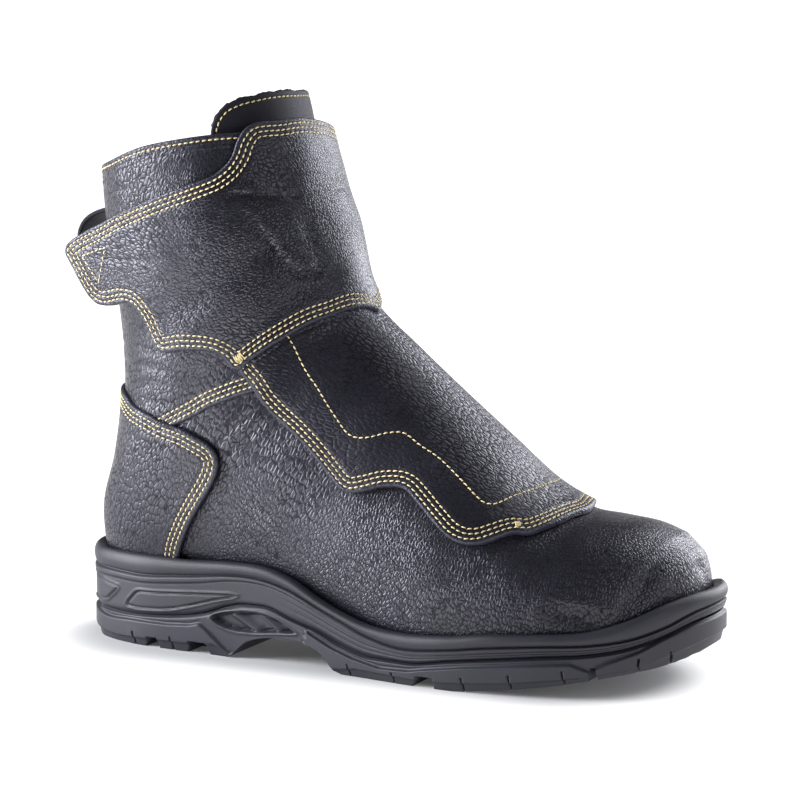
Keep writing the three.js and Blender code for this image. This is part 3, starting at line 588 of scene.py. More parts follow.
class Patch:
    """A piece of leather on a surface, cut to an edge."""

    def __init__(self, surface, edge, face, thickness, around_side=0.0, fuzz=0.0, seed=1):
        self.chart = Chart(surface, around_side)
        self.face, self.thickness = face, thickness
        self.fuzz, self.seed = fuzz, seed
        self.control = self.chart.place_points(edge, face)
        even = self.chart.even(smooth_run(self.control, closed=True), EDGE_PITCH, closed=True)
        self.loop = turned_left(even)
        self.turned = self.loop is not even
        self.inward = self.chart.inward(self.loop, closed=True)
        self.tree = tree_of(self.chart.at(self.loop))

    def build(self, name, relief=None, rows=EDGE_ROWS, stitched=STITCH_ROWS):
        """A closed mesh: outer face with its stitch channels, cut edge and back."""
        chart = self.chart
        flat, gap, faces, ring = self.triangles(rows)
        round_off = EDGE_ROUNDING * min(self.thickness, ROUNDED_MOST)
        drop = round_off * (1 - np.sqrt(np.maximum(0, 1 - (1 - np.clip(gap / round_off, 0, 1)) ** 2)))
        height = self.face - drop
        for row in stitched:
            height = height - CHANNEL_DEPTH * np.exp(-((gap - row) / CHANNEL_WIDTH) ** 2)
        height = height + SWELL * smoothstep(0.6, 1.4, gap) * (1 - smoothstep(8, 12, gap))
        if relief is not None:
            height = height + relief(chart.at(flat, self.face), gap)
        top = chart.at(flat, height)
        back = chart.at(flat, self.face - self.thickness)
        total, count = len(flat), len(ring)
        fall = self.thickness - round_off
        walls = [top[ring] - chart.normal(flat[ring]) * fall * share for share in (0.33, 0.67)]
        points = np.vstack([top, back, *walls])
        between = 2 * total + np.arange(2 * count).reshape(2, count)
        rings = [ring, *between.tolist(), [total + i for i in ring]]
        sides = []
        for upper, lower in zip(rings, rings[1:]):
            for i in range(count):
                j = (i + 1) % count
                sides.append((upper[i], lower[i], lower[j], upper[j]))
        polygons = [tuple(f) for f in faces] + [tuple(f[::-1] + total) for f in faces] + sides
        # outer face 0, back 1, cut edge 2
        materials = [0] * len(faces) + [1] * len(faces) + [2] * len(sides)
        near_edge = np.concatenate([np.exp(-gap / 0.7), np.zeros(total), np.ones(2 * count)])
        return mesh_object(name, points, polygons, materials, {"edge": near_edge})

    def triangles(self, rows):
        """The patch in triangles: points, their distances from the edge, faces, and the edge's points."""
        border = self.frayed_border()
        sets, gaps = [border], [np.zeros(len(border))]
        for distance in rows:
            moved = self.chart.walk(self.loop, self.inward, distance)
            keep = nearest_lengths(self.tree, self.chart.at(moved)) > 0.97 * distance
            sets.append(moved[keep])
            gaps.append(np.full(keep.sum(), distance))
        lattice = self.lattice(FIELD_SPACING)
        reached = nearest_lengths(self.tree, self.chart.at(lattice))
        keep = reached > rows[-1] + 0.6 * FIELD_SPACING
        sets.append(lattice[keep])
        gaps.append(reached[keep])
        corners = [Vector(p) for p in np.vstack(sets)]
        count = len(border)
        verts, _, faces, origins, _, _ = delaunay_2d_cdt(corners, [], [list(range(count))], 1, 1e-6)
        source = np.array([o[0] if o else 0 for o in origins])
        # the border keeps its order, so its points are found by where they came from
        place_of = {int(origin): index for index, origin in enumerate(source)}
        ring = [place_of[i] for i in range(count)]
        flat = np.array([tuple(v) for v in verts])
        return flat, np.concatenate(gaps)[source], np.array([f for f in faces if len(f) == 3]), ring

    def frayed_border(self):
        if self.fuzz == 0:
            return self.loop
        count = len(self.loop)
        wave = np.random.default_rng(self.seed).normal(0, 1, count)
        slow = np.convolve(np.tile(wave, 3), np.hanning(13) / 6, "same")[count:2 * count]
        shift = self.fuzz * (SLOW_FRAY * slow + FINE_FRAY * wave)
        return np.vstack([
            self.chart.walk(self.loop[i:i + 1], self.inward[i:i + 1], shift[i]) for i in range(count)
        ])

    def lattice(self, spacing):
        """Points over the patch, thinned to an even spacing on the surface."""
        low, high = self.loop.min(0), self.loop.max(0)
        fine = 0.45 * spacing
        places = np.arange(low[0], high[0], fine * 0.5)
        sides = np.arange(low[1], high[1], fine)
        flat = np.stack(np.meshgrid(places, sides, indexing="ij"), -1).reshape(-1, 2)
        cells = np.floor(self.chart.at(flat) / spacing).astype(int)
        _, first = np.unique(cells, axis=0, return_index=True)
        flat = flat[np.sort(first)]
        return flat[inside(flat, self.loop)]

    def edge_between(self, start, end):
        """The part of the edge from one point of its table to another, in the table's order."""
        if self.turned:
            start, end = end, start
        first, last = (
            int(np.argmin(np.linalg.norm(self.loop - self.control[index], axis=1))) for index in (start, end)
        )
        if last <= first:
            last += len(self.loop)
        return self.loop[np.arange(first, last + 1) % len(self.loop)]


def place_in_scene(name, data, place=(0, 0, 0), target=None):
    """A new object of the scene, which looks from its place at a target."""
    thing = bpy.data.objects.new(name, data)
    thing.location = place
    if target is not None:
        thing.rotation_euler = (Vector(target) - Vector(place)).to_track_quat("-Z", "Y").to_euler()
    bpy.context.scene.collection.objects.link(thing)
    return thing


def mesh_object(name, points, polygons, materials=None, attributes=None):
    mesh = bpy.data.meshes.new(name)
    mesh.from_pydata(metres(points).tolist(), [], polygons)
    if materials is not None:
        mesh.polygons.foreach_set("material_index", np.array(materials, np.int32))
    for key, values in (attributes or {}).items():
        layer = mesh.attributes.new(key, "FLOAT", "POINT")
        layer.data.foreach_set("value", np.asarray(values, np.float32))
    mesh.polygons.foreach_set("use_smooth", np.ones(len(mesh.polygons), bool))
    mesh.update()
    mesh.validate()
    return place_in_scene(name, mesh)


# Thread


class Threads:
    """Stitches gathered into one mesh."""

    def __init__(self):
        self.points, self.faces, self.count = [], [], 0

    def tube(self, line, normals, radii):
        line, normals = np.asarray(line), np.asarray(normals)
        along = unit(np.gradient(line, axis=0))
        across = unit(np.cross(along, normals))
        up = np.cross(across, along)
        sides = THREAD_SIDES
        turns = np.linspace(0, 2 * np.pi, sides, endpoint=False)
        rings = [
            centre + radius * (np.cos(turns)[:, None] * a + np.sin(turns)[:, None] * u)
            for centre, a, u, radius in zip(line, across, up, radii)
        ]
        start = self.count
        self.points.append(np.vstack(rings))
        self.faces += band_faces(len(line), sides, start)
        self.faces.append(tuple(range(start, start + sides)))
        last = start + (len(line) - 1) * sides
        self.faces.append(tuple(range(last + sides - 1, last - 1, -1)))
        self.count += len(line) * sides

    def stitch(self, chart, flat, offset):
        """Dashes along a run, each sunk at both ends, a little askew to the line."""
        lengths = run_lengths(chart.at(flat, offset))
        count = int(lengths[-1] // STITCH_PITCH)
        pitch = lengths[-1] / count
        shares = np.linspace(0, 1, len(DASH_RISE))
        beside = DASH_LEAN * (2 * shares - 1)
        for index in range(count):
            marks = index * pitch + 0.5 * (pitch - DASH) + DASH * shares
            spot = at_marks(marks, lengths, flat)
            centre, normal = chart.at(spot, offset), chart.normal(spot)
            across = unit(np.cross(normal, unit(centre[-1] - centre[0])[None, :]))
            centre = centre + across * beside[:, None] + normal * np.array(DASH_RISE)[:, None]
            self.tube(centre, normal, THREAD * np.array(DASH_RADII))

    def make(self, name):
        return mesh_object(name, np.vstack(self.points), self.faces)


def stitch_rows(threads, patch, span=None, rows=STITCH_ROWS):
    """Rows of stitches along a patch's edge, right round or from one point of its table to another."""
    closed = span is None
    run = patch.loop if closed else patch.edge_between(*span)
    for distance in rows:
        moved = offset_run(patch.chart, run, distance, closed, patch.tree)
        even = patch.chart.even(moved, RUN_PITCH, closed)
        if closed:
            even = np.vstack([even, even[:1]])
        threads.stitch(patch.chart, even, patch.face - ROW_SINK)


def stitch_line(threads, patch, points, closed=False):
    """One row of stitches through points given on the boot, with straight sides where it is closed."""
    control = patch.chart.place_points(points, patch.face)
    line = np.vstack([control, control[:1]]) if closed else smooth_run(control, closed=False)
    even = patch.chart.even(line, RUN_PITCH, closed=False)
    threads.stitch(patch.chart, even, patch.face - LINE_SINK)


def bartack(threads, patch, ends, width, passes):
    """Close stitches to and fro over a short run, which lock the ends of the rows."""
    control = patch.chart.place_points(ends, patch.face)
    spots = np.linspace(control[0], control[1], passes)
    across = np.cross(patch.chart.normal(spots), unit(np.diff(patch.chart.at(control), axis=0)))
    rng = np.random.default_rng(passes)
    for index, spot in enumerate(spots):
        half = width / 2 * (1 + rng.uniform(-0.15, 0.15))
        lean = unit(across[index] + rng.normal(0, 0.12, 3))[None]
        ends_of_pass = [patch.chart.walk(spot[None], side * lean, half)[0] for side in (-1, 1)]
        run = np.linspace(*ends_of_pass, len(TACK_RISE))
        line = patch.chart.at(run, patch.face + np.array(TACK_RISE))
        threads.tube(line, patch.chart.normal(run), np.full(len(run), THREAD))


# The sole's lines and outline


def follow(keys, values, at):
    """A cubic through a table's rows that stays flat where its values are level."""
    keys, values, at = np.asarray(keys, float), np.asarray(values, float), np.asarray(at, float)
    steps = np.diff(values) / np.diff(keys)
    slopes = np.empty(len(keys))
    slopes[0], slopes[-1] = steps[0], steps[-1]
    middle = (values[2:] - values[:-2]) / (keys[2:] - keys[:-2])
    slopes[1:-1] = np.where(steps[:-1] * steps[1:] <= 0, 0, middle)
    row = np.clip(np.searchsorted(keys, at, "right") - 1, 0, len(keys) - 2)
    width = keys[row + 1] - keys[row]
    share = np.clip((at - keys[row]) / width, 0, 1)
    rest = 1 - share
    ends = values[row] * (1 + 2 * share) * rest**2 + values[row + 1] * (3 - 2 * share) * share**2
    return ends + width * share * rest * (slopes[row] * rest - slopes[row + 1] * share)


def line_at(name, x):
    table = np.array(SOLE_HEIGHTS)
    return follow(table[:, 0], table[:, 1 + SOLE_LINES.index(name)], np.asarray(x) / SOLE_LENGTH) * RIM_HEIGHT


def sole_outline(pitch):
    """Points round the sole at an even pitch: heel tip, outer side, toe tip, inner side."""
    table = np.array(SOLE_OUTLINE)
    keys = np.arccos(1 - 2 * table[:, 0]) / np.pi
    angles = np.linspace(0, 1, 1500)
    x = SOLE_LENGTH * (1 - np.cos(np.pi * angles)) / 2
    outer = np.stack([x, follow(keys, table[:, 1], angles) * SOLE_WIDTH], 1)
    inner = np.stack([x, follow(keys, table[:, 2], angles) * SOLE_WIDTH], 1)
    ring = np.vstack([outer, inner[-2:0:-1]])
    closed = np.vstack([ring, ring[:1]])
    length = np.sum(np.linalg.norm(np.diff(closed, axis=0), axis=1))
    even = spread_evenly(closed, int(length / pitch) + 1)[:-1]
    ahead, behind = np.roll(even, -3, axis=0), np.roll(even, 3, axis=0)
    along = unit(ahead - behind)
    return even, np.stack([-along[:, 1], along[:, 0]], 1)


def filled(ring, spacing):
    """Triangles that fill a closed run in plan, with points inside it."""
    low, high = ring.min(0), ring.max(0)
    columns, rows = np.arange(low[0], high[0], spacing), np.arange(low[1], high[1], spacing)
    grid = np.stack(np.meshgrid(columns, rows), -1).reshape(-1, 2)
    grid = grid[inside(grid, ring)]
    tree = tree_of(np.hstack([ring, np.zeros((len(ring), 1))]))
    clear = nearest_lengths(tree, np.hstack([grid, np.zeros((len(grid), 1))])) > 0.6 * spacing
    corners = [Vector(p) for p in np.vstack([ring, grid[clear]])]
    verts, _, faces, _, _, _ = delaunay_2d_cdt(corners, [], [list(range(len(ring)))], 1, 1e-7)
    return np.array([tuple(v) for v in verts]), [tuple(f) for f in faces if len(f) == 3]


def loft(levels, bottom, top, spacing):
    """A closed body: rings of points from low to high, then caps whose heights are functions along it."""
    count = len(levels[0])
    points = [np.vstack(levels)]
    # the levels run the other way round than a band's rings
    faces = [(face[0], *face[:0:-1]) for face in band_faces(len(levels), count)]
    total = count * len(levels)
    for start, height, turned in ((0, bottom, False), (count * (len(levels) - 1), top, True)):
        ring = points[0][start:start + count, :2]
        flat, tris = filled(ring, spacing)
        extra = flat[count:]
        points.append(np.column_stack([extra, height(extra[:, 0])]))
        for tri in tris:
            corners = [start + i if i < count else total + i - count for i in tri]
            faces.append(tuple(corners if turned else corners[::-1]))
        total += len(extra)
    return np.vstack(points), faces


def cut(body, cutter, operation="DIFFERENCE"):
    """The body after a cut or intersection, with the cutter used up."""
    step = body.modifiers.new("cut", "BOOLEAN")
    step.operation, step.object, step.solver = operation, cutter, "MANIFOLD"
    graph = bpy.context.evaluated_depsgraph_get()
    mesh = bpy.data.meshes.new_from_object(body.evaluated_get(graph))
    body.modifiers.remove(step)
    body.data = mesh
    bpy.data.objects.remove(cutter)
    return body


# Profiles of the sole's side. Columns: share of the way between two lines, inset in millimetres.
HEEL_WALL = [
    [0, 2.6], [0.04, 1.5], [0.09, 0.95], [0.14, 0.85], [0.76, 0.8], [0.79, 0.95], [0.815, 0.6],
    [0.85, 0.05], [0.93, 0.05], [0.965, 0.7], [1, 1.9],
]
TOE_WALL = [
    [0, 2.8], [0.08, 2.2], [0.15, 1.5], [0.2, 1.0], [0.31, 0.9], [0.35, 1.25], [0.39, 0.75],
    [0.54, 0.65], [0.58, 1.0], [0.63, 0.3], [0.86, 0.2], [0.93, 0.8], [1, 1.9],
]
RIM_BAND = [
    [0, 1.9], [0.05, 1.0], [0.12, 0.35], [0.25, 0], [0.45, -0.25], [0.62, -0.1], [0.78, 0.35],
    [0.9, 1.05], [1, 2.2],
]
WALL_STEPS = np.concatenate([np.linspace(0, 0.2, 8), np.linspace(0.24, 0.76, 22), np.linspace(0.78, 1, 13)])
BAND_STEPS = np.concatenate([np.linspace(0.04, 0.24, 5), np.linspace(0.32, 1, 9)])
TREAD_STEPS = np.concatenate([np.linspace(0, 0.9, 40), np.linspace(0.92, 1, 5)])
RIM_ROLL = [[3.2, 0.15], [4.6, 0.8], [6, 2.2]]  # inset and fall of the rim's inner levels
TOE_WALL_FROM, TOE_WALL_TO = 112, 150  # along, where the heel's profile becomes the toe's

# Panels on the heel's wall and the recess of the waist: along and up in millimetres.
SIDE_PANEL = [
    [30, 18], [32, 21.5], [37, 26.2], [39.5, 27.2], [50, 27.6], [70, 29.2], [90, 30.6], [95, 30], [95, 28.4],
    [92, 27], [82, 24.6], [70, 21], [60, 18.4], [52, 17.1], [40, 16.3], [32, 16.6],
]
REAR_PANEL = [
    [-12, 30.6], [10, 30.2], [19, 28.4], [26.5, 27.6], [27.6, 25.6], [25.5, 23], [19, 18], [16, 17.2],
    [7, 17], [-12, 17],
]
WAIST_RECESS = [
    [79.5, 17], [80, 18.6], [83, 19.8], [88, 20.9], [96, 22], [103, 22.4], [109, 21.9], [114, 20.6],
    [119, 18.6], [125, 15.6], [121, 15], [114, 14.4], [103, 13], [95, 12.8], [88, 13.4], [83, 14.8],
]
# Blades in the recess. Columns: foot along and up, tip along and up.
BLADES = [[103, 13.4, 91, 19.4], [114.5, 15, 106, 20.8], [125, 15.4, 118, 18.4]]

# Top edge of the tread's blocks and the line under it where their sides turn in: along and up.
BLOCK_TOP = [
    [0, 14.5], [8, 13], [15, 11.6], [21, 11.2], [35, 12.1], [55, 12.2], [68, 13.2], [73, 14.6],
    [77, 12], [89, 2.3], [96, 0], [126, 0], [131, 17.6], [133, 16.6], [144, 12], [156, 8.6],
    [170, 6.3], [185, 7], [193, 8.6], [211, 11.4], [234, 13.9], [251, 15.3], [258, 15.5],
    [265, 12.6], [272, 16.3], [283, 20.5], [293, 26.2], [304, 32.3], [306, 33],
]
BLOCK_TURN = [
    [0, 6.5], [12, 4.4], [23, 3.5], [40, 4.1], [70, 4.7], [81, 5.7], [96, 0], [140, 0], [146, 2.4],
    [158, 4.4], [186, 3.6], [202, 3.9], [234, 6.7], [258, 9.6], [271, 11.6], [283, 14],
    [293, 18], [306, 24],
]


def edge_distance(x, z, corners, closed=True):
    """Distance to a run of straight edges, negative inside a closed one."""
    corners = np.asarray(corners, float)
    ends = np.roll(corners, -1, axis=0) if closed else corners[1:]
    starts = corners if closed else corners[:-1]
    best = np.full(np.shape(x), 1e9)
    for (ax, az), (bx, bz) in zip(starts, ends):
        ux, uz = bx - ax, bz - az
        share = np.clip(((x - ax) * ux + (z - az) * uz) / (ux * ux + uz * uz), 0, 1)
        best = np.minimum(best, np.hypot(x - ax - share * ux, z - az - share * uz))
    if closed:
        within = inside(np.stack([np.ravel(x), np.ravel(z)], 1), corners).reshape(np.shape(x))
        best = np.where(within, -best, best)
    return best


PANEL_RIM = 0.8
PANEL_GROOVE = 0.9
PANEL_FIELD = 0.3


def panel_relief(x, z, corners):
    """A raised rim along a panel's edge, a groove inside it and a slightly raised field."""
    depth = -edge_distance(x, z, corners)
    rim = PANEL_RIM * np.exp(-((depth - 0.6) / 0.42) ** 2)
    groove = -PANEL_GROOVE * np.exp(-((depth - 1.6) / 0.35) ** 2)
    field = PANEL_FIELD * smoothstep(1.7, 2.3, depth)
    return rim + groove + field


def read_off(table, at):
    """The second column of a table at a place in its first."""
    table = np.array(table, float)
    return np.interp(at, table[:, 0], table[:, 1])


def midsole_levels(outline, inwards):
    x = outline[:, 0]
    share = smoothstep(TOE_WALL_FROM, TOE_WALL_TO, x)
    ledge, groove, rim = (line_at(name, x) for name in ("ledge", "groove", "rim"))
    insets, heights = [], []
    for step in WALL_STEPS:
        inset = read_off(HEEL_WALL, step) * (1 - share) + read_off(TOE_WALL, step) * share
        z = ledge * (1 - step) + groove * step + GAP * (1 - step)
        for panel in (SIDE_PANEL, REAR_PANEL):
            inset = inset - panel_relief(x, z, panel)
        insets.append(inset)
        heights.append(z)
    for step in BAND_STEPS:
        insets.append(np.full(len(x), read_off(RIM_BAND, step)))
        heights.append(groove * (1 - step) + rim * step)
    for inset, fall in RIM_ROLL:
        insets.append(np.full(len(x), inset))
        heights.append(rim - fall)
    return [np.column_stack([outline + inwards * inset[:, None], z]) for inset, z in zip(insets, heights)]


def closed_form(offset):
    """The form grown by an offset, as a closed body with a lid above the collar."""
    rows, columns = 160, 120
    places = np.linspace(0.05, len(sections) - 1.01, rows)
    sides = np.linspace(-1, 1, columns, endpoint=False)
    place, side = np.meshgrid(places, sides, indexing="ij")
    points = form.at(place, side, np.full(place.shape, offset)).reshape(-1, 3)
    faces = band_faces(rows, columns)
    faces.append(tuple(range(columns)))
    faces.append(tuple((rows - 1) * columns + c for c in reversed(range(columns))))
    return points, faces


def slab(name, low, high, pitch, wider, spacing):
    """A body between two heights, which are functions along the sole, wider than its outline."""
    outline, inwards = sole_outline(pitch)
    wide = outline - inwards * wider
    levels = [np.column_stack([wide, height(wide[:, 0])]) for height in (low, high)]
    return mesh_object(name, *loft(levels, low, high, spacing))


def make_midsole():
    outline, inwards = sole_outline(SOLE_PITCH)
    levels = midsole_levels(outline, inwards)
    bottom, top = (lambda x: line_at("ledge", x) + GAP), (lambda x: line_at("rim", x) - RIM_ROLL[-1][1])
    points, faces = loft(levels, bottom, top, SOLE_SPACING)
    body = mesh_object("midsole_moulded", points, faces)
    foot = mesh_object("foot_room", *closed_form(GAP))
    floor, lid = (lambda x: line_at("floor", x)), (lambda x: np.full(len(x), BOOT_HEIGHT + 60.0))
    above = slab("room_floor", floor, lid, pitch=6, wider=40, spacing=8)
    return cut(body, cut(foot, above, "INTERSECT"))


TREAD_INSET = 1.35
BLOCK_STAND = 1.25  # how far the blocks stand out of the layer above them
RECESS_DEPTH = 3.2
RECESS_RIM = 0.55
BLADE_SLOPES = [3.2, 0.6]  # length of a blade's flat side and of its steep one


def outsole_side(outline, inwards):
    """Levels of the tread layer, with its blocks' bevelled faces and the waist's recess."""
    x = outline[:, 0]
    tread, ledge = line_at("tread", x), line_at("ledge", x)
    top_z, turn_z = read_off(BLOCK_TOP, x), read_off(BLOCK_TURN, x)
    levels = []
    for step in TREAD_STEPS:
        z = tread * (1 - step) + ledge * step
        inset = TREAD_INSET + 1.6 * smoothstep(0.9, 1.0, step)
        face = smoothstep(0, 0.9, top_z - z)
        inset = inset - BLOCK_STAND * face + 0.35 * np.exp(-((z - top_z - 0.5) / 0.5) ** 2)
        turned = smoothstep(0.1, 0.9, turn_z - z) * smoothstep(0.5, 2, turn_z - tread)
        inset = inset + turned * (1.1 + 0.22 * np.maximum(turn_z - z, 0))
        depth = -edge_distance(x, z, WAIST_RECESS)
        recess = RECESS_DEPTH * smoothstep(0, 0.8, depth) + 0.8 * np.exp(-((depth - 0.8) / 0.45) ** 2)
        for foot_x, foot_z, tip_x, tip_z in BLADES:
            blade = edge_distance(x, z, [[foot_x, foot_z], [tip_x, tip_z]], closed=False)
            side = (x - foot_x) * (tip_z - foot_z) - (z - foot_z) * (tip_x - foot_x)
            slope = np.where(side > 0, *BLADE_SLOPES)
            recess = recess * (1 - 0.8 * np.exp(-((blade / slope) ** 2)) * (depth > 0))
        rim = -RECESS_RIM * np.exp(-((depth + 0.7) / 0.5) ** 2)
        inset = inset + recess + rim
        levels.append(np.column_stack([outline + inwards * inset[:, None], z]))
    return levels


# Gaps between the tread's blocks. Columns: along, width, depth up from the tread, how far it reaches in
# from each side, lean in degrees.
TREAD_GAPS = [
    [14, 5.5, 5, 20, 0], [47, 6, 5, 28, 0], [73, 9, 5.5, 28, -8], [191.5, 8, 5.2, 60, 12],
    [266, 3, 5.5, 60, 0],
]
# Grooves of the tread that end before its sides: along, width, depth.
INNER_GROOVES = [
    [30, 3.2, 4], [60, 3.2, 4], [150, 3.2, 4], [170, 3.2, 4], [213, 3.2, 4], [237, 3.2, 4], [284, 3, 4],
]
GROOVE_REACH = 24  # to each side of the middle
# Thin cuts in the blocks' sides. Columns: along, width, height, lean in degrees.
SIPES = [
    [37, 1.0, 6.5, -10], [59, 1.0, 6.5, -12], [155, 0.9, 5.6, -14], [178, 0.9, 5.2, -12],
    [212, 1.0, 6.4, -10], [233, 1.0, 6.6, -10], [255, 1.0, 6.2, -8], [282, 1.0, 6.5, 8],
    [292, 1.0, 6.5, 10],
]
SIPE_REACH = 5.5  # in from the sole's edge


def prism(x, width, below, above, y0, y1, lean=0.0, flare=0.25):
    """A cutter across the sole from below the tread to above it: leaning, a little wider at its mouth."""
    low, high = float(line_at("tread", x)) - below, float(line_at("tread", x)) + above
    shift = math.tan(math.radians(lean)) * (high - low)
    section = [
        [x - width * (0.5 + flare), low], [x + width * (0.5 + flare), low],
        [x + width * 0.5 + shift, high], [x - width * 0.5 + shift, high],
    ]
    points = [[a, y0, b] for a, b in section] + [[a, y1, b] for a, b in section]
    faces = [(0, 1, 2, 3), (7, 6, 5, 4), (0, 4, 5, 1), (1, 5, 6, 2), (2, 6, 7, 3), (3, 7, 4, 0)]
    return np.array(points, float), faces


def make_outsole():
    levels = outsole_side(*sole_outline(SOLE_PITCH))
    points, faces = loft(levels, lambda x: line_at("tread", x), lambda x: line_at("ledge", x), TREAD_SPACING)
    body = mesh_object("outsole_moulded", points, faces)
    beyond = SOLE_WIDTH * 0.6
    cutters = []
    for x, width, depth, reach, lean in TREAD_GAPS:
        spans = [(-beyond, -beyond + reach + 12), (beyond - reach - 12, beyond)]
        cutters += [prism(x, width, 3, depth, y0, y1, lean) for y0, y1 in spans]
    for x, width, depth in INNER_GROOVES:
        cutters.append(prism(x, width, 3, depth, -GROOVE_REACH, GROOVE_REACH))
    table = np.array(SOLE_OUTLINE)
    for x, width, height, lean in SIPES:
        for column in (1, 2):
            edge = float(np.interp(x / SOLE_LENGTH, table[:, 0], table[:, column])) * SOLE_WIDTH
            side = np.sign(edge)
            y0, y1 = sorted([edge + side * 3, edge - side * SIPE_REACH])
            cutters.append(prism(x, width, 1, height, y0, y1, lean, flare=0))
    for points, faces in cutters:
        body = cut(body, mesh_object("cutter", points, faces))
    return body


# Leather pieces

VAMP_TOP = 18  # place along the sections, under the shaft's leather
VAMP_ROWS, VAMP_COLUMNS = 236, 177
INSOLE_THICKNESS = 4
INSOLE_CLEAR = 0.05  # above the floor under the foot
THROAT_WIDTH = 28
THROAT_FOOT = 0.6
LOOP_SIDES = 48
LOOP_LEVELS = 70
# The strap's middle line, as shares of the length and height
LOOP_LINE = [
    [0.066, 0.777], [0.02, 0.777], [-0.014, 0.758], [-0.026, 0.73], [-0.018, 0.699], [0.016, 0.676],
    [0.066, 0.668],
]
# The ridge beside a crease: height as a share of its depth, how far away and how wide in its widths
RIDGE_SHARE = 0.35
RIDGE_AWAY = 2.1
RIDGE_WIDTH = 0.9


def crease_relief(points, creases):
    """Soft troughs along short runs given along and up, each with a low ridge beside it."""
    x, z = points[..., 0], points[..., 2]
    height = np.zeros(x.shape)
    for run, depth, width in creases:
        run = np.asarray(run, float)
        near = edge_distance(x, z, run, closed=False)
        ends = np.minimum(np.hypot(x - run[0, 0], z - run[0, 1]), np.hypot(x - run[-1, 0], z - run[-1, 1]))
        fade = smoothstep(0, 3.5 * width, ends + width)
        height = height - depth * fade * np.exp(-((near / width) ** 2))
        beside = (near - RIDGE_AWAY * width) / (RIDGE_WIDTH * width)
        height = height + RIDGE_SHARE * depth * fade * np.exp(-(beside ** 2))
    return height


# The pressed form on both sides of the shaft flap's front, and the crease above it, along and up
CLAW = [
    [97, 206], [103, 200], [108, 192], [114, 183], [117, 179], [121, 176], [126, 174.5], [125.5, 182],
    [122.5, 190], [120, 198], [118, 206],
]
CLAW_CREASE = [[94, 209.5], [100, 209.8], [108, 209.6], [116, 209]]
CLAW_RISE = 1.5
CLAW_GROOVE = 1.3  # depth of the groove round it and of the crease


def shaft_flap_relief(points, gap):
    x, z = points[..., 0], points[..., 2]
    depth = -edge_distance(x, z, CLAW)
    height = CLAW_RISE * smoothstep(-0.5, 1.9, depth) - CLAW_GROOVE * np.exp(-(((depth + 1.0) / 0.9) ** 2))
    # it fades out upwards and along its front edge
    front = smoothstep(-5, 0, x - 118 - 0.27 * (206 - z)) * smoothstep(177, 181, z)
    height = height * (1 - 0.85 * smoothstep(190, 207, z)) * (1 - 0.7 * front)
    near = edge_distance(x, z, CLAW_CREASE, closed=False)
    height = height - CLAW_GROOVE * np.exp(-((near / 1.3) ** 2)) + crease_relief(points, FLAP_CREASES)
    return height * smoothstep(3, 8, gap)


# Creases of the leather: the run along and up, depth, width
VAMP_CREASES = [
    [[[277, 33], [279.5, 44], [284, 53], [288, 58.5]], 1.0, 2.8],
    [[[248, 37], [258, 35], [268, 33]], 0.9, 3.2],
    [[[84, 100], [92, 105.5], [100, 112]], 0.45, 1.5],
    [[[88, 94], [97, 100], [106, 109]], 0.4, 1.6],
]
SHAFT_CREASES = [
    [[[14, 140], [26, 137.5], [40, 139], [52, 136]], 0.3, 1.1],
    [[[24, 131], [32, 128.5], [47, 131], [63, 127.5], [76, 130]], 0.45, 1.4],
    [[[30, 122], [38, 120.5], [52, 123.5], [66, 121]], 0.35, 1.2],
    [[[44, 115], [54, 113.5], [64, 116]], 0.3, 1.2],
    [[[8, 211], [24, 209.5], [44, 212]], 0.35, 1.1],
]
FLAP_CREASES = [
    [[[22, 179.5], [40, 178.5], [60, 180]], 0.3, 0.9],
    [[[26, 162], [44, 160.5], [66, 162]], 0.3, 0.9],
    [[[46, 172], [60, 171], [72, 172.5]], 0.25, 0.8],
]
TOE_DENT = [296.5, 7, 51]  # its middle: along, across and up
TOE_DENT_DEPTH = 1.1
TOE_DENT_WIDTH = 4.5


def vamp_relief(points):
    height = crease_relief(points, VAMP_CREASES)
    far = np.linalg.norm(points - TOE_DENT, axis=-1)
    return height - TOE_DENT_DEPTH * np.exp(-((far / TOE_DENT_WIDTH) ** 2))


def shaft_relief(points, gap):
    return crease_relief(points, SHAFT_CREASES) * smoothstep(3, 8, gap)


def make_vamp():
    places = np.linspace(0.03, VAMP_TOP, VAMP_ROWS)
    sides = np.linspace(-1, 1, VAMP_COLUMNS)
    place, side = np.meshgrid(places, sides, indexing="ij")
    face = form.at(place, side)
    outer = form.at(place, side, vamp_relief(face))
    inner = form.at(place, side, np.full(place.shape, -UPPER_WALL))
    centre = (face[1:, 1:] + face[1:, :-1] + face[:-1, 1:] + face[:-1, :-1]) / 4
    kept = centre[..., 2] > line_at("floor", centre[..., 0]) + 0.4
    half = THROAT_WIDTH / 2
    throat = (np.abs(centre[..., 1]) < half) & (centre[..., 0] > 80)
    throat &= centre[..., 2] > THROAT_FOOT * BOOT_HEIGHT - 0.5 * half
    return thick_grid("vamp", outer, inner, kept & ~throat)


def thick_grid(name, outer, inner, kept):
    """A closed sheet over the kept cells of a grid, whose last column meets its first."""
    rows, columns = outer.shape[:2]
    total = rows * columns
    faces, materials, edges = [], [], {}
    for r, c in zip(*np.nonzero(kept)):
        this, after = c % (columns - 1), (c + 1) % (columns - 1)
        corners = [row * columns + column for row, column in (
            (r, this), (r + 1, this), (r + 1, after), (r, after))]
        faces += [tuple(corners), tuple(total + i for i in reversed(corners))]
        materials += [0, 1]
        for a, b in zip(corners, corners[1:] + corners[:1]):
            if (b, a) in edges:
                del edges[(b, a)]
            else:
                edges[(a, b)] = True
    for a, b in edges:
        faces.append((b, a, total + a, total + b))
        materials.append(2)
    points = np.vstack([outer.reshape(-1, 3), inner.reshape(-1, 3)])
    return mesh_object(name, *without_strays(points, faces), materials)


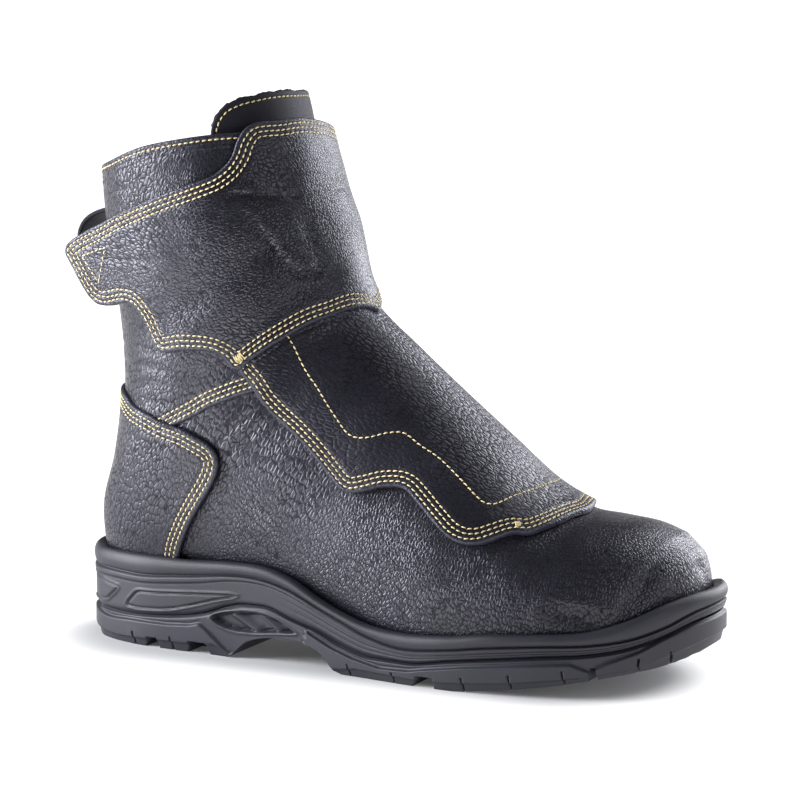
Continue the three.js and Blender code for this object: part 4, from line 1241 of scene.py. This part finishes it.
def without_strays(points, faces):
    """The points that faces use, and the faces with their new numbers."""
    used = np.unique(np.concatenate([np.array(face) for face in faces]))
    place = np.full(len(points), -1)
    place[used] = np.arange(len(used))
    return points[used], [tuple(place[i] for i in face) for face in faces]


def make_insole():
    low, high = (
        lambda x: line_at("floor", x) + INSOLE_CLEAR,
        lambda x: line_at("floor", x) + INSOLE_THICKNESS,
    )
    felt_slab = slab("insole_felt", low, high, pitch=2, wider=20, spacing=4)
    return cut(felt_slab, mesh_object("insole_room", *closed_form(-UPPER_WALL - GAP)), "INTERSECT")


def make_loop():
    control = np.array(LOOP_LINE) * [SOLE_LENGTH, BOOT_HEIGHT]
    line = spread_evenly(smooth_run(control, closed=False), LOOP_LEVELS)
    along = unit(np.gradient(line, axis=0))
    out = np.stack([along[:, 1], -along[:, 0]], 1)
    turns = np.linspace(0, 2 * np.pi, LOOP_SIDES, endpoint=False)
    across = LOOP_WIDTH / 2 * np.sign(np.cos(turns)) * np.abs(np.cos(turns)) ** 0.12
    through = LOOP_THICKNESS / 2 * np.sign(np.sin(turns)) * np.abs(np.sin(turns)) ** 0.5
    levels = [
        np.column_stack([p[0] + o[0] * through, across, p[1] + o[1] * through]) for p, o in zip(line, out)
    ]
    count = len(turns)
    points = np.vstack(levels)
    faces = band_faces(len(levels), count)
    # outer face 0, inner face 1, cut edge 2
    at_edge = np.minimum(abs(across), abs(np.roll(across, -1))) > 0.46 * LOOP_WIDTH
    materials = np.where(at_edge, 2, through + np.roll(through, -1) < 0).tolist() * (len(levels) - 1)
    faces.append(tuple(range(count)))
    faces.append(tuple(len(points) - count + i for i in reversed(range(count))))
    strip = mesh_object("pull_loop_strip", points, faces, materials + [2, 2])
    return cut(strip, mesh_object("loop_room", *closed_form(SHAFT_LAP + 0.1)))


# Materials


class Nodes:
    """Short ways to add nodes to a material or a world."""

    def __init__(self, owner):
        owner.use_nodes = True
        self.tree = owner.node_tree

    def add(self, kind, inputs=None, **settings):
        node = self.tree.nodes.new("ShaderNode" + kind)
        for key, value in settings.items():
            setattr(node, key, value)
        for key, value in (inputs or {}).items():
            self.put(node, key, value)
        return node

    def put(self, node, key, value):
        socket = node.inputs[key]
        if isinstance(value, bpy.types.NodeSocket):
            self.tree.links.new(value, socket)
        else:
            socket.default_value = value

    def math(self, operation, a, b=0.0, clamp=False):
        node = self.add("Math", {0: a, 1: b}, operation=operation, use_clamp=clamp)
        return node.outputs[0]

    def step(self, value, low, high, to_low=0.0, to_high=1.0):
        node = self.add(
            "MapRange",
            {"Value": value, "From Min": low, "From Max": high, "To Min": to_low, "To Max": to_high},
            interpolation_type="SMOOTHSTEP",
        )
        return node.outputs["Result"]

    def dot(self, spot, direction):
        node = self.add("VectorMath", {0: spot, 1: tuple(direction)}, operation="DOT_PRODUCT")
        return node.outputs["Value"]


class Shader(Nodes):
    """A new material with its nodes."""

    def __init__(self, name):
        self.material = bpy.data.materials.new(name)
        super().__init__(self.material)
        self.surface = self.tree.nodes["Principled BSDF"]

    def place(self, lean=None, stretch=1.0):
        """The point in the object's own metres, drawn out along a direction given by its rise in degrees."""
        spot = self.add("TexCoord").outputs["Object"]
        if lean is None:
            return spot
        turn = (0, math.radians(lean), 0)
        turned = self.add("Mapping", {"Vector": spot, "Rotation": turn}).outputs["Vector"]
        return self.add("Mapping", {"Vector": turned, "Scale": (1 / stretch, 1, 1)}).outputs["Vector"]

    def noise(self, where, scale, detail=3.0, rough=0.5):
        node = self.add("TexNoise", {"Vector": where, "Scale": scale, "Detail": detail, "Roughness": rough})
        return node.outputs["Fac"], node.outputs["Color"]

    def cells(self, where, scale):
        inputs = {"Vector": where, "Scale": scale, "Randomness": 0.9}
        return self.add("TexVoronoi", inputs, feature="DISTANCE_TO_EDGE").outputs["Distance"]

    def warped(self, where, scale, amount):
        _, wobble = self.noise(where, scale, 2)
        moved = self.add("VectorMath", {0: wobble, 1: (0.5, 0.5, 0.5)}, operation="SUBTRACT").outputs[0]
        shift = self.add("VectorMath", {0: moved, "Scale": amount}, operation="SCALE").outputs[0]
        return self.add("VectorMath", {0: where, 1: shift}, operation="ADD").outputs[0]

    def mix(self, share, a, b):
        """Two colours mixed."""
        node = self.add("Mix", data_type="RGBA")
        for key, value in ((0, share), (6, a), (7, b)):
            self.put(node, key, value)
        return node.outputs[2]

    def blend(self, share, a, b):
        """Two numbers mixed."""
        return self.add("Mix", {0: share, 2: a, 3: b}, data_type="FLOAT").outputs[0]

    def bump(self, height, distance, strength=1.0):
        inputs = {"Height": height, "Distance": distance, "Strength": strength}
        return self.add("Bump", inputs).outputs["Normal"]

    def finish(self, color, roughness, normal, **constants):
        self.put(self.surface, "Base Color", color)
        self.put(self.surface, "Roughness", roughness)
        self.put(self.surface, "Normal", normal)
        for key, value in constants.items():
            self.put(self.surface, key.replace("_", " "), value)
        return self.material


# Leather, with its lengths in metres
GRAIN_DEPTH = 0.00015
LEATHER_ROUGHNESS = 0.27
LEATHER_FACE = (0.014, 0.0133, 0.022, 1)
# painted shade: the near-black colour of the creases between the pebbles
LEATHER_CREASE_SHADE = (0.001, 0.001, 0.0015, 1)
LEATHER_WORN = (0.04, 0.044, 0.07, 1)  # where the cut edge begins
LEATHER_TINT = (0.92, 0.91, 1, 1)  # of its gloss


def pebbles(s, where, size):
    """Flat cells with rounded rims, and the share of each point that isn't in a crease between them."""
    cell = s.cells(s.warped(where, 420, 0.0006), 1 / size)
    return s.step(cell, 0.0, 0.32), s.step(cell, 0.0, 0.12)


def leather(name, leans, size):
    """Dark pebbled leather: cells drawn out in two directions, which change over from patch to patch, with
    painted shade in the creases between them.
    """
    s = Shader(name)
    large, _ = s.noise(s.place(), 13, 2)
    patchy, _ = s.noise(s.place(), 34, 3)
    share = s.step(large, 0.42, 0.58)
    dome_a, crease_a = pebbles(s, s.place(leans[0], 2.1), size)
    dome_b, crease_b = pebbles(s, s.place(leans[1], 1.6), size * 0.8)
    dome = s.blend(share, dome_a, dome_b)
    crease = s.blend(share, crease_a, crease_b)
    pores, _ = s.noise(s.place(), 2600, 3)
    height = s.math("ADD", s.math("MULTIPLY", dome, 0.8), s.math("MULTIPLY", crease, 0.2))
    height = s.math("ADD", height, s.math("MULTIPLY", pores, 0.04))
    strong = s.step(patchy, 0.3, 0.7, 0.6, 1.15)
    normal = s.bump(s.math("MULTIPLY", height, strong), GRAIN_DEPTH)
    shade = s.math("MULTIPLY", crease, s.step(patchy, 0.3, 0.7, 0.75, 1.0))
    # the creases take the painted crease shade
    color = s.mix(shade, LEATHER_CREASE_SHADE, LEATHER_FACE)
    edge = s.add("Attribute", attribute_name="edge").outputs["Fac"]
    color = s.mix(s.math("MULTIPLY", edge, 0.6), color, LEATHER_WORN)
    rough_by_crease = s.step(crease, 0, 1, LEATHER_ROUGHNESS + 0.3, LEATHER_ROUGHNESS)
    roughness = s.math("ADD", rough_by_crease, s.step(patchy, 0.25, 0.75, -0.03, 0.08))
    # painted shade in the creases: a black metal gives back almost no light, which keeps the creases dark
    # under the lamps
    dark = s.math("MULTIPLY", s.math("SUBTRACT", 1.0, crease), s.math("SUBTRACT", 0.6, edge, clamp=True))
    gloss = {"Metallic": dark, "Specular_IOR_Level": 0.6, "Specular_Tint": LEATHER_TINT}
    return s.finish(color, roughness, normal, **gloss)


def plain(name, color, roughness, grain=0.0004, depth=0.0001, gloss=0.5):
    """A material of one colour, a little lighter in patches, with a fine grain."""
    s = Shader(name)
    value, _ = s.noise(s.place(), 1 / grain, 4, 0.6)
    slow, _ = s.noise(s.place(), 40, 2)
    normal = s.bump(value, depth, 0.7)
    shade = s.mix(s.step(slow, 0.3, 0.7), (*color, 1), (*[c * 1.35 for c in color], 1))
    rough = s.step(value, 0.3, 0.7, roughness - 0.05, roughness + 0.07)
    return s.finish(shade, rough, normal, Specular_IOR_Level=gloss)


def dress(piece, materials, node):
    # a piece that was cut comes with an empty place for a material
    piece.data.materials.clear()
    for material in materials:
        piece.data.materials.append(material)
    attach(piece, "root")
    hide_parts(node)


upper_grain = leather("leather_upper", (64, 78), 0.0019)
flap_grain = leather("leather_flap", (-16, 24), 0.0018)
soft_leather = plain("leather_tongue", (0.012, 0.012, 0.017), 0.62, 0.0008, 0.00012, gloss=0.2)
# painted shade: the pull loop's inner face, coloured near black, darker than its outer face
loop_inside_painted_shade = plain("leather_inside_painted_shade", (0.003, 0.003, 0.004), 0.85, 0.0008, 0.00012, gloss=0.15)
raw_edge = plain("leather_raw_edge", (0.085, 0.095, 0.14), 0.85, 0.0003, 0.00025)
lining = plain("lining", (0.03, 0.03, 0.033), 0.9, 0.0006, 0.0002)
felt = plain("felt", (0.03, 0.03, 0.035), 0.95, 0.0005, 0.0004)
cup_rubber = plain("rubber_cup", (0.013, 0.013, 0.02), 0.5)
tread_rubber = plain("rubber_tread", (0.017, 0.017, 0.025), 0.48)
thread_yellow = plain("thread", (0.76, 0.63, 0.33), 0.6)

# The pieces, with their materials in the order outer face, back, cut edge

upper_layers = [upper_grain, lining, raw_edge]
flap_layers = [flap_grain, lining, raw_edge]
dress(make_vamp(), upper_layers, "upper")

shaft = Patch(form, SHAFT_EDGE, SHAFT_LAP, SHAFT_LAP + UPPER_WALL, around_side=0.3, seed=3)
dress(shaft.build("shaft_leather", shaft_relief), upper_layers, "upper")

counter_loop = there_and_back(COUNTER_EDGE)[:-1]
counter = Patch(form, counter_loop, COUNTER_FACE, COUNTER_THICKNESS, around_side=1.0, seed=4)
dress(counter.build("counter_leather"), upper_layers, "heel_counter")

instep = Patch(form, INSTEP_FLAP_EDGE, INSTEP_FLAP_FACE, INSTEP_FLAP_THICKNESS, fuzz=0.28, seed=5)
dress(instep.build("instep_flap_leather"), flap_layers, "instep_flap")

flap = Patch(leaf_form, SHAFT_FLAP_EDGE, SHAFT_FLAP_FACE, SHAFT_FLAP_THICKNESS, fuzz=0.18, seed=6)
dress(flap.build("shaft_flap_leather", shaft_flap_relief), flap_layers, "shaft_flap")

tongue_loop = there_and_back(TONGUE_TOP) + there_and_back(TONGUE_FOOT)
tongue = Patch(form, tongue_loop, TONGUE_FACE, TONGUE_THICKNESS, fuzz=0.8, seed=7)
tongue_sheet = tongue.build("tongue_leather_sheet", rows=TONGUE_EDGE_ROWS, stitched=[TONGUE_STITCH])
dress(tongue_sheet, [soft_leather, soft_leather, raw_edge], "tongue")

# the loop's inner face takes the painted shade
dress(make_loop(), [soft_leather, loop_inside_painted_shade, raw_edge], "pull_loop")
dress(make_insole(), [felt], "insole")
dress(make_midsole(), [cup_rubber], "midsole")
dress(make_outsole(), [tread_rubber], "outsole")


def sew_shaft_flap(threads):
    stitch_rows(threads, flap)
    stitch_line(threads, flap, TAB_TRIANGLE, closed=True)
    bartack(threads, flap, [[94.5, -43, 136.5], [97.5, -43, 138.5]], 3.8, 5)


def sew_instep_flap(threads):
    stitch_rows(threads, instep, (5, 51))
    stitch_line(threads, instep, PAD_STITCH)
    bartack(threads, instep, [[226.8, -35, 71.5], [228.2, -34, 72]], 2.4, 4)


def sew_counter(threads):
    stitch_rows(threads, counter)


def sew_shaft(threads):
    stitch_rows(threads, shaft, (0, 22))
    stitch_rows(threads, shaft, (30, 46), [COLLAR_STITCH])


def sew_tongue(threads):
    stitch_rows(threads, tongue, rows=[TONGUE_STITCH])


for sew, name, node in (
    (sew_shaft_flap, "shaft_flap_thread", "shaft_flap"),
    (sew_instep_flap, "instep_flap_thread", "instep_flap"),
    (sew_counter, "counter_thread", "heel_counter"),
    (sew_shaft, "shaft_thread", "upper"),
    (sew_tongue, "tongue_thread", "tongue"),
):
    gathered = Threads()
    sew(gathered)
    dress(gathered.make(name), [thread_yellow], node)

# Floor, lights and camera

STUDIO_AHEAD = Vector((-0.434, 0.901, 0)).normalized()  # from the camera to the shoe, along the floor
WORLD_DIM = 0.14
WORLD_BRIGHT = 1.1
GLOW = 5.0  # the floor's strongest light
PAINTED_POOL_GLOW = 3.6  # of the painted pool of light, a glowing patch before the outer side that lights the shoe
FLOOR_HALF = 30.0
# Lines on the floor: a centre, and how far behind and before it they reach along the shoe
PAINTED_SHADOW_LINE = [(0, 0, 0), 0.015, 0.2]  # under the shoe, where the floor's glow stops: a painted shadow
# painted pool of light: the glowing patch before the outer side
PAINTED_POOL_LINE = [(-0.05, -0.45, 0), -0.15, 0.1]
LAMP_COLOR = (0.93, 0.94, 1)
# Lamps: place, point they face, width and height, watts
LAMPS = {
    "left_box": [(-0.99, -0.6, 0.5), (0.08, 0, 0.1), (0.6, 0.95), 36],
    "right_box": [(0.77, 1.13, 0.6), (0.12, 0, 0.12), (1.2, 1.1), 29],
    "front_box": [(1.3, -0.65, 0.4), (0.15, 0, 0.1), (0.8, 0.8), 4],
    "top_box": [(0.65, 0.45, 1.25), (0.15, 0, 0.1), (0.8, 0.8), 3],
}
CAMERA_PLACE = (0.6152, -1.0225, 0.2680)
CAMERA_TARGET = (0.11645, 0, 0.1)
CAMERA_LENS = 114.4
CAMERA_SHIFT = (0.0119, 0.045)


def floor_distance(s, spot, centre, low, high):
    """Distance from a line on the floor that runs along the shoe, from low to high beside a centre."""
    apart = s.add("VectorMath", {0: spot, 1: centre}, operation="SUBTRACT").outputs[0]
    parts = s.add("SeparateXYZ", {0: apart}).outputs
    held = s.math("MINIMUM", s.math("MAXIMUM", parts["X"], low), high)
    aside = s.add("CombineXYZ", {"X": s.math("SUBTRACT", parts["X"], held), "Y": parts["Y"]}).outputs[0]
    return s.add("VectorMath", {0: aside}, operation="LENGTH").outputs["Value"]


def paper():
    """White paper with painted light: it glows away from the shoe, so that it stays white there, more towards
    the back; the glow stops close round the shoe as a painted shadow, a brighter glowing patch before the
    outer side is a painted pool of light, and it is dark near the camera.
    """
    s = Shader("floor_paper_painted_light")
    spot = s.place()
    ahead = s.dot(spot, STUDIO_AHEAD)
    # painted shadow: the floor's glow stops close round the shoe
    away = s.step(floor_distance(s, spot, *PAINTED_SHADOW_LINE), 0.045, 0.075)
    back = s.step(ahead, 0.25, 1.3, 0, 0.4)
    near = s.step(ahead, -0.6, -0.42)
    # painted pool of light
    pool = s.step(floor_distance(s, spot, *PAINTED_POOL_LINE), 0.32, 0.12)
    fibre, _ = s.noise(spot, 500)
    normal = s.bump(fibre, 0.00001)
    glow = s.math("ADD", s.math("ADD", s.math("MULTIPLY", away, 0.9), 0.05), back)
    glow = s.math("ADD", glow, s.math("MULTIPLY", pool, PAINTED_POOL_GLOW))
    share = s.math("DIVIDE", s.math("MULTIPLY", glow, near), GLOW)
    s.put(s.surface, "Emission Strength", GLOW)
    s.put(s.surface, "Emission Color", s.mix(share, (0, 0, 0, 1), (1, 1, 1, 1)))
    # the paper is lighter where its glow stops in the painted shadow, and darker where it glows
    white = s.mix(away, (0.6, 0.6, 0.6, 1), (0.25, 0.25, 0.25, 1))
    return s.finish(s.mix(near, (0.03, 0.03, 0.03, 1), white), 0.9, normal)


def make_floor():
    mesh = bpy.data.meshes.new("floor")
    h = FLOOR_HALF
    mesh.from_pydata([(-h, -h, 0), (h, -h, 0), (h, h, 0), (-h, h, 0)], [], [(0, 1, 2, 3)])
    floor = place_in_scene("floor", mesh)
    floor.data.materials.append(paper())


def make_lamps():
    for name, (place, target, size, power) in LAMPS.items():
        data = bpy.data.lights.new(name, "AREA")
        data.shape = "RECTANGLE"
        data.size, data.size_y = size
        data.energy = power
        data.color = LAMP_COLOR
        place_in_scene(name, data, place, target)


def make_camera():
    data = bpy.data.cameras.new("camera")
    data.sensor_width, data.lens = 36, CAMERA_LENS
    data.shift_x, data.shift_y = CAMERA_SHIFT
    data.clip_end = 100
    bpy.context.scene.camera = place_in_scene("camera", data, CAMERA_PLACE, CAMERA_TARGET)


def make_world():
    """White near the horizon behind the shoe, as its paper backdrop, and dim elsewhere."""
    world = bpy.data.worlds.new("studio")
    w = Nodes(world)
    spot = w.add("TexCoord").outputs["Generated"]
    height = w.add("SeparateXYZ", {0: spot}).outputs["Z"]
    low = w.step(height, 0.07, 0.26, 1, 0)
    behind = w.step(w.dot(spot, STUDIO_AHEAD), 0.3, 0.75)
    background = w.tree.nodes["Background"]
    w.put(background, "Color", (1, 1, 1, 1))
    w.put(background, "Strength", w.step(w.math("MULTIPLY", low, behind), 0, 1, WORLD_DIM, WORLD_BRIGHT))
    bpy.context.scene.world = world


make_floor()
make_world()
make_lamps()
make_camera()
bpy.context.scene.view_settings.view_transform = "Standard"
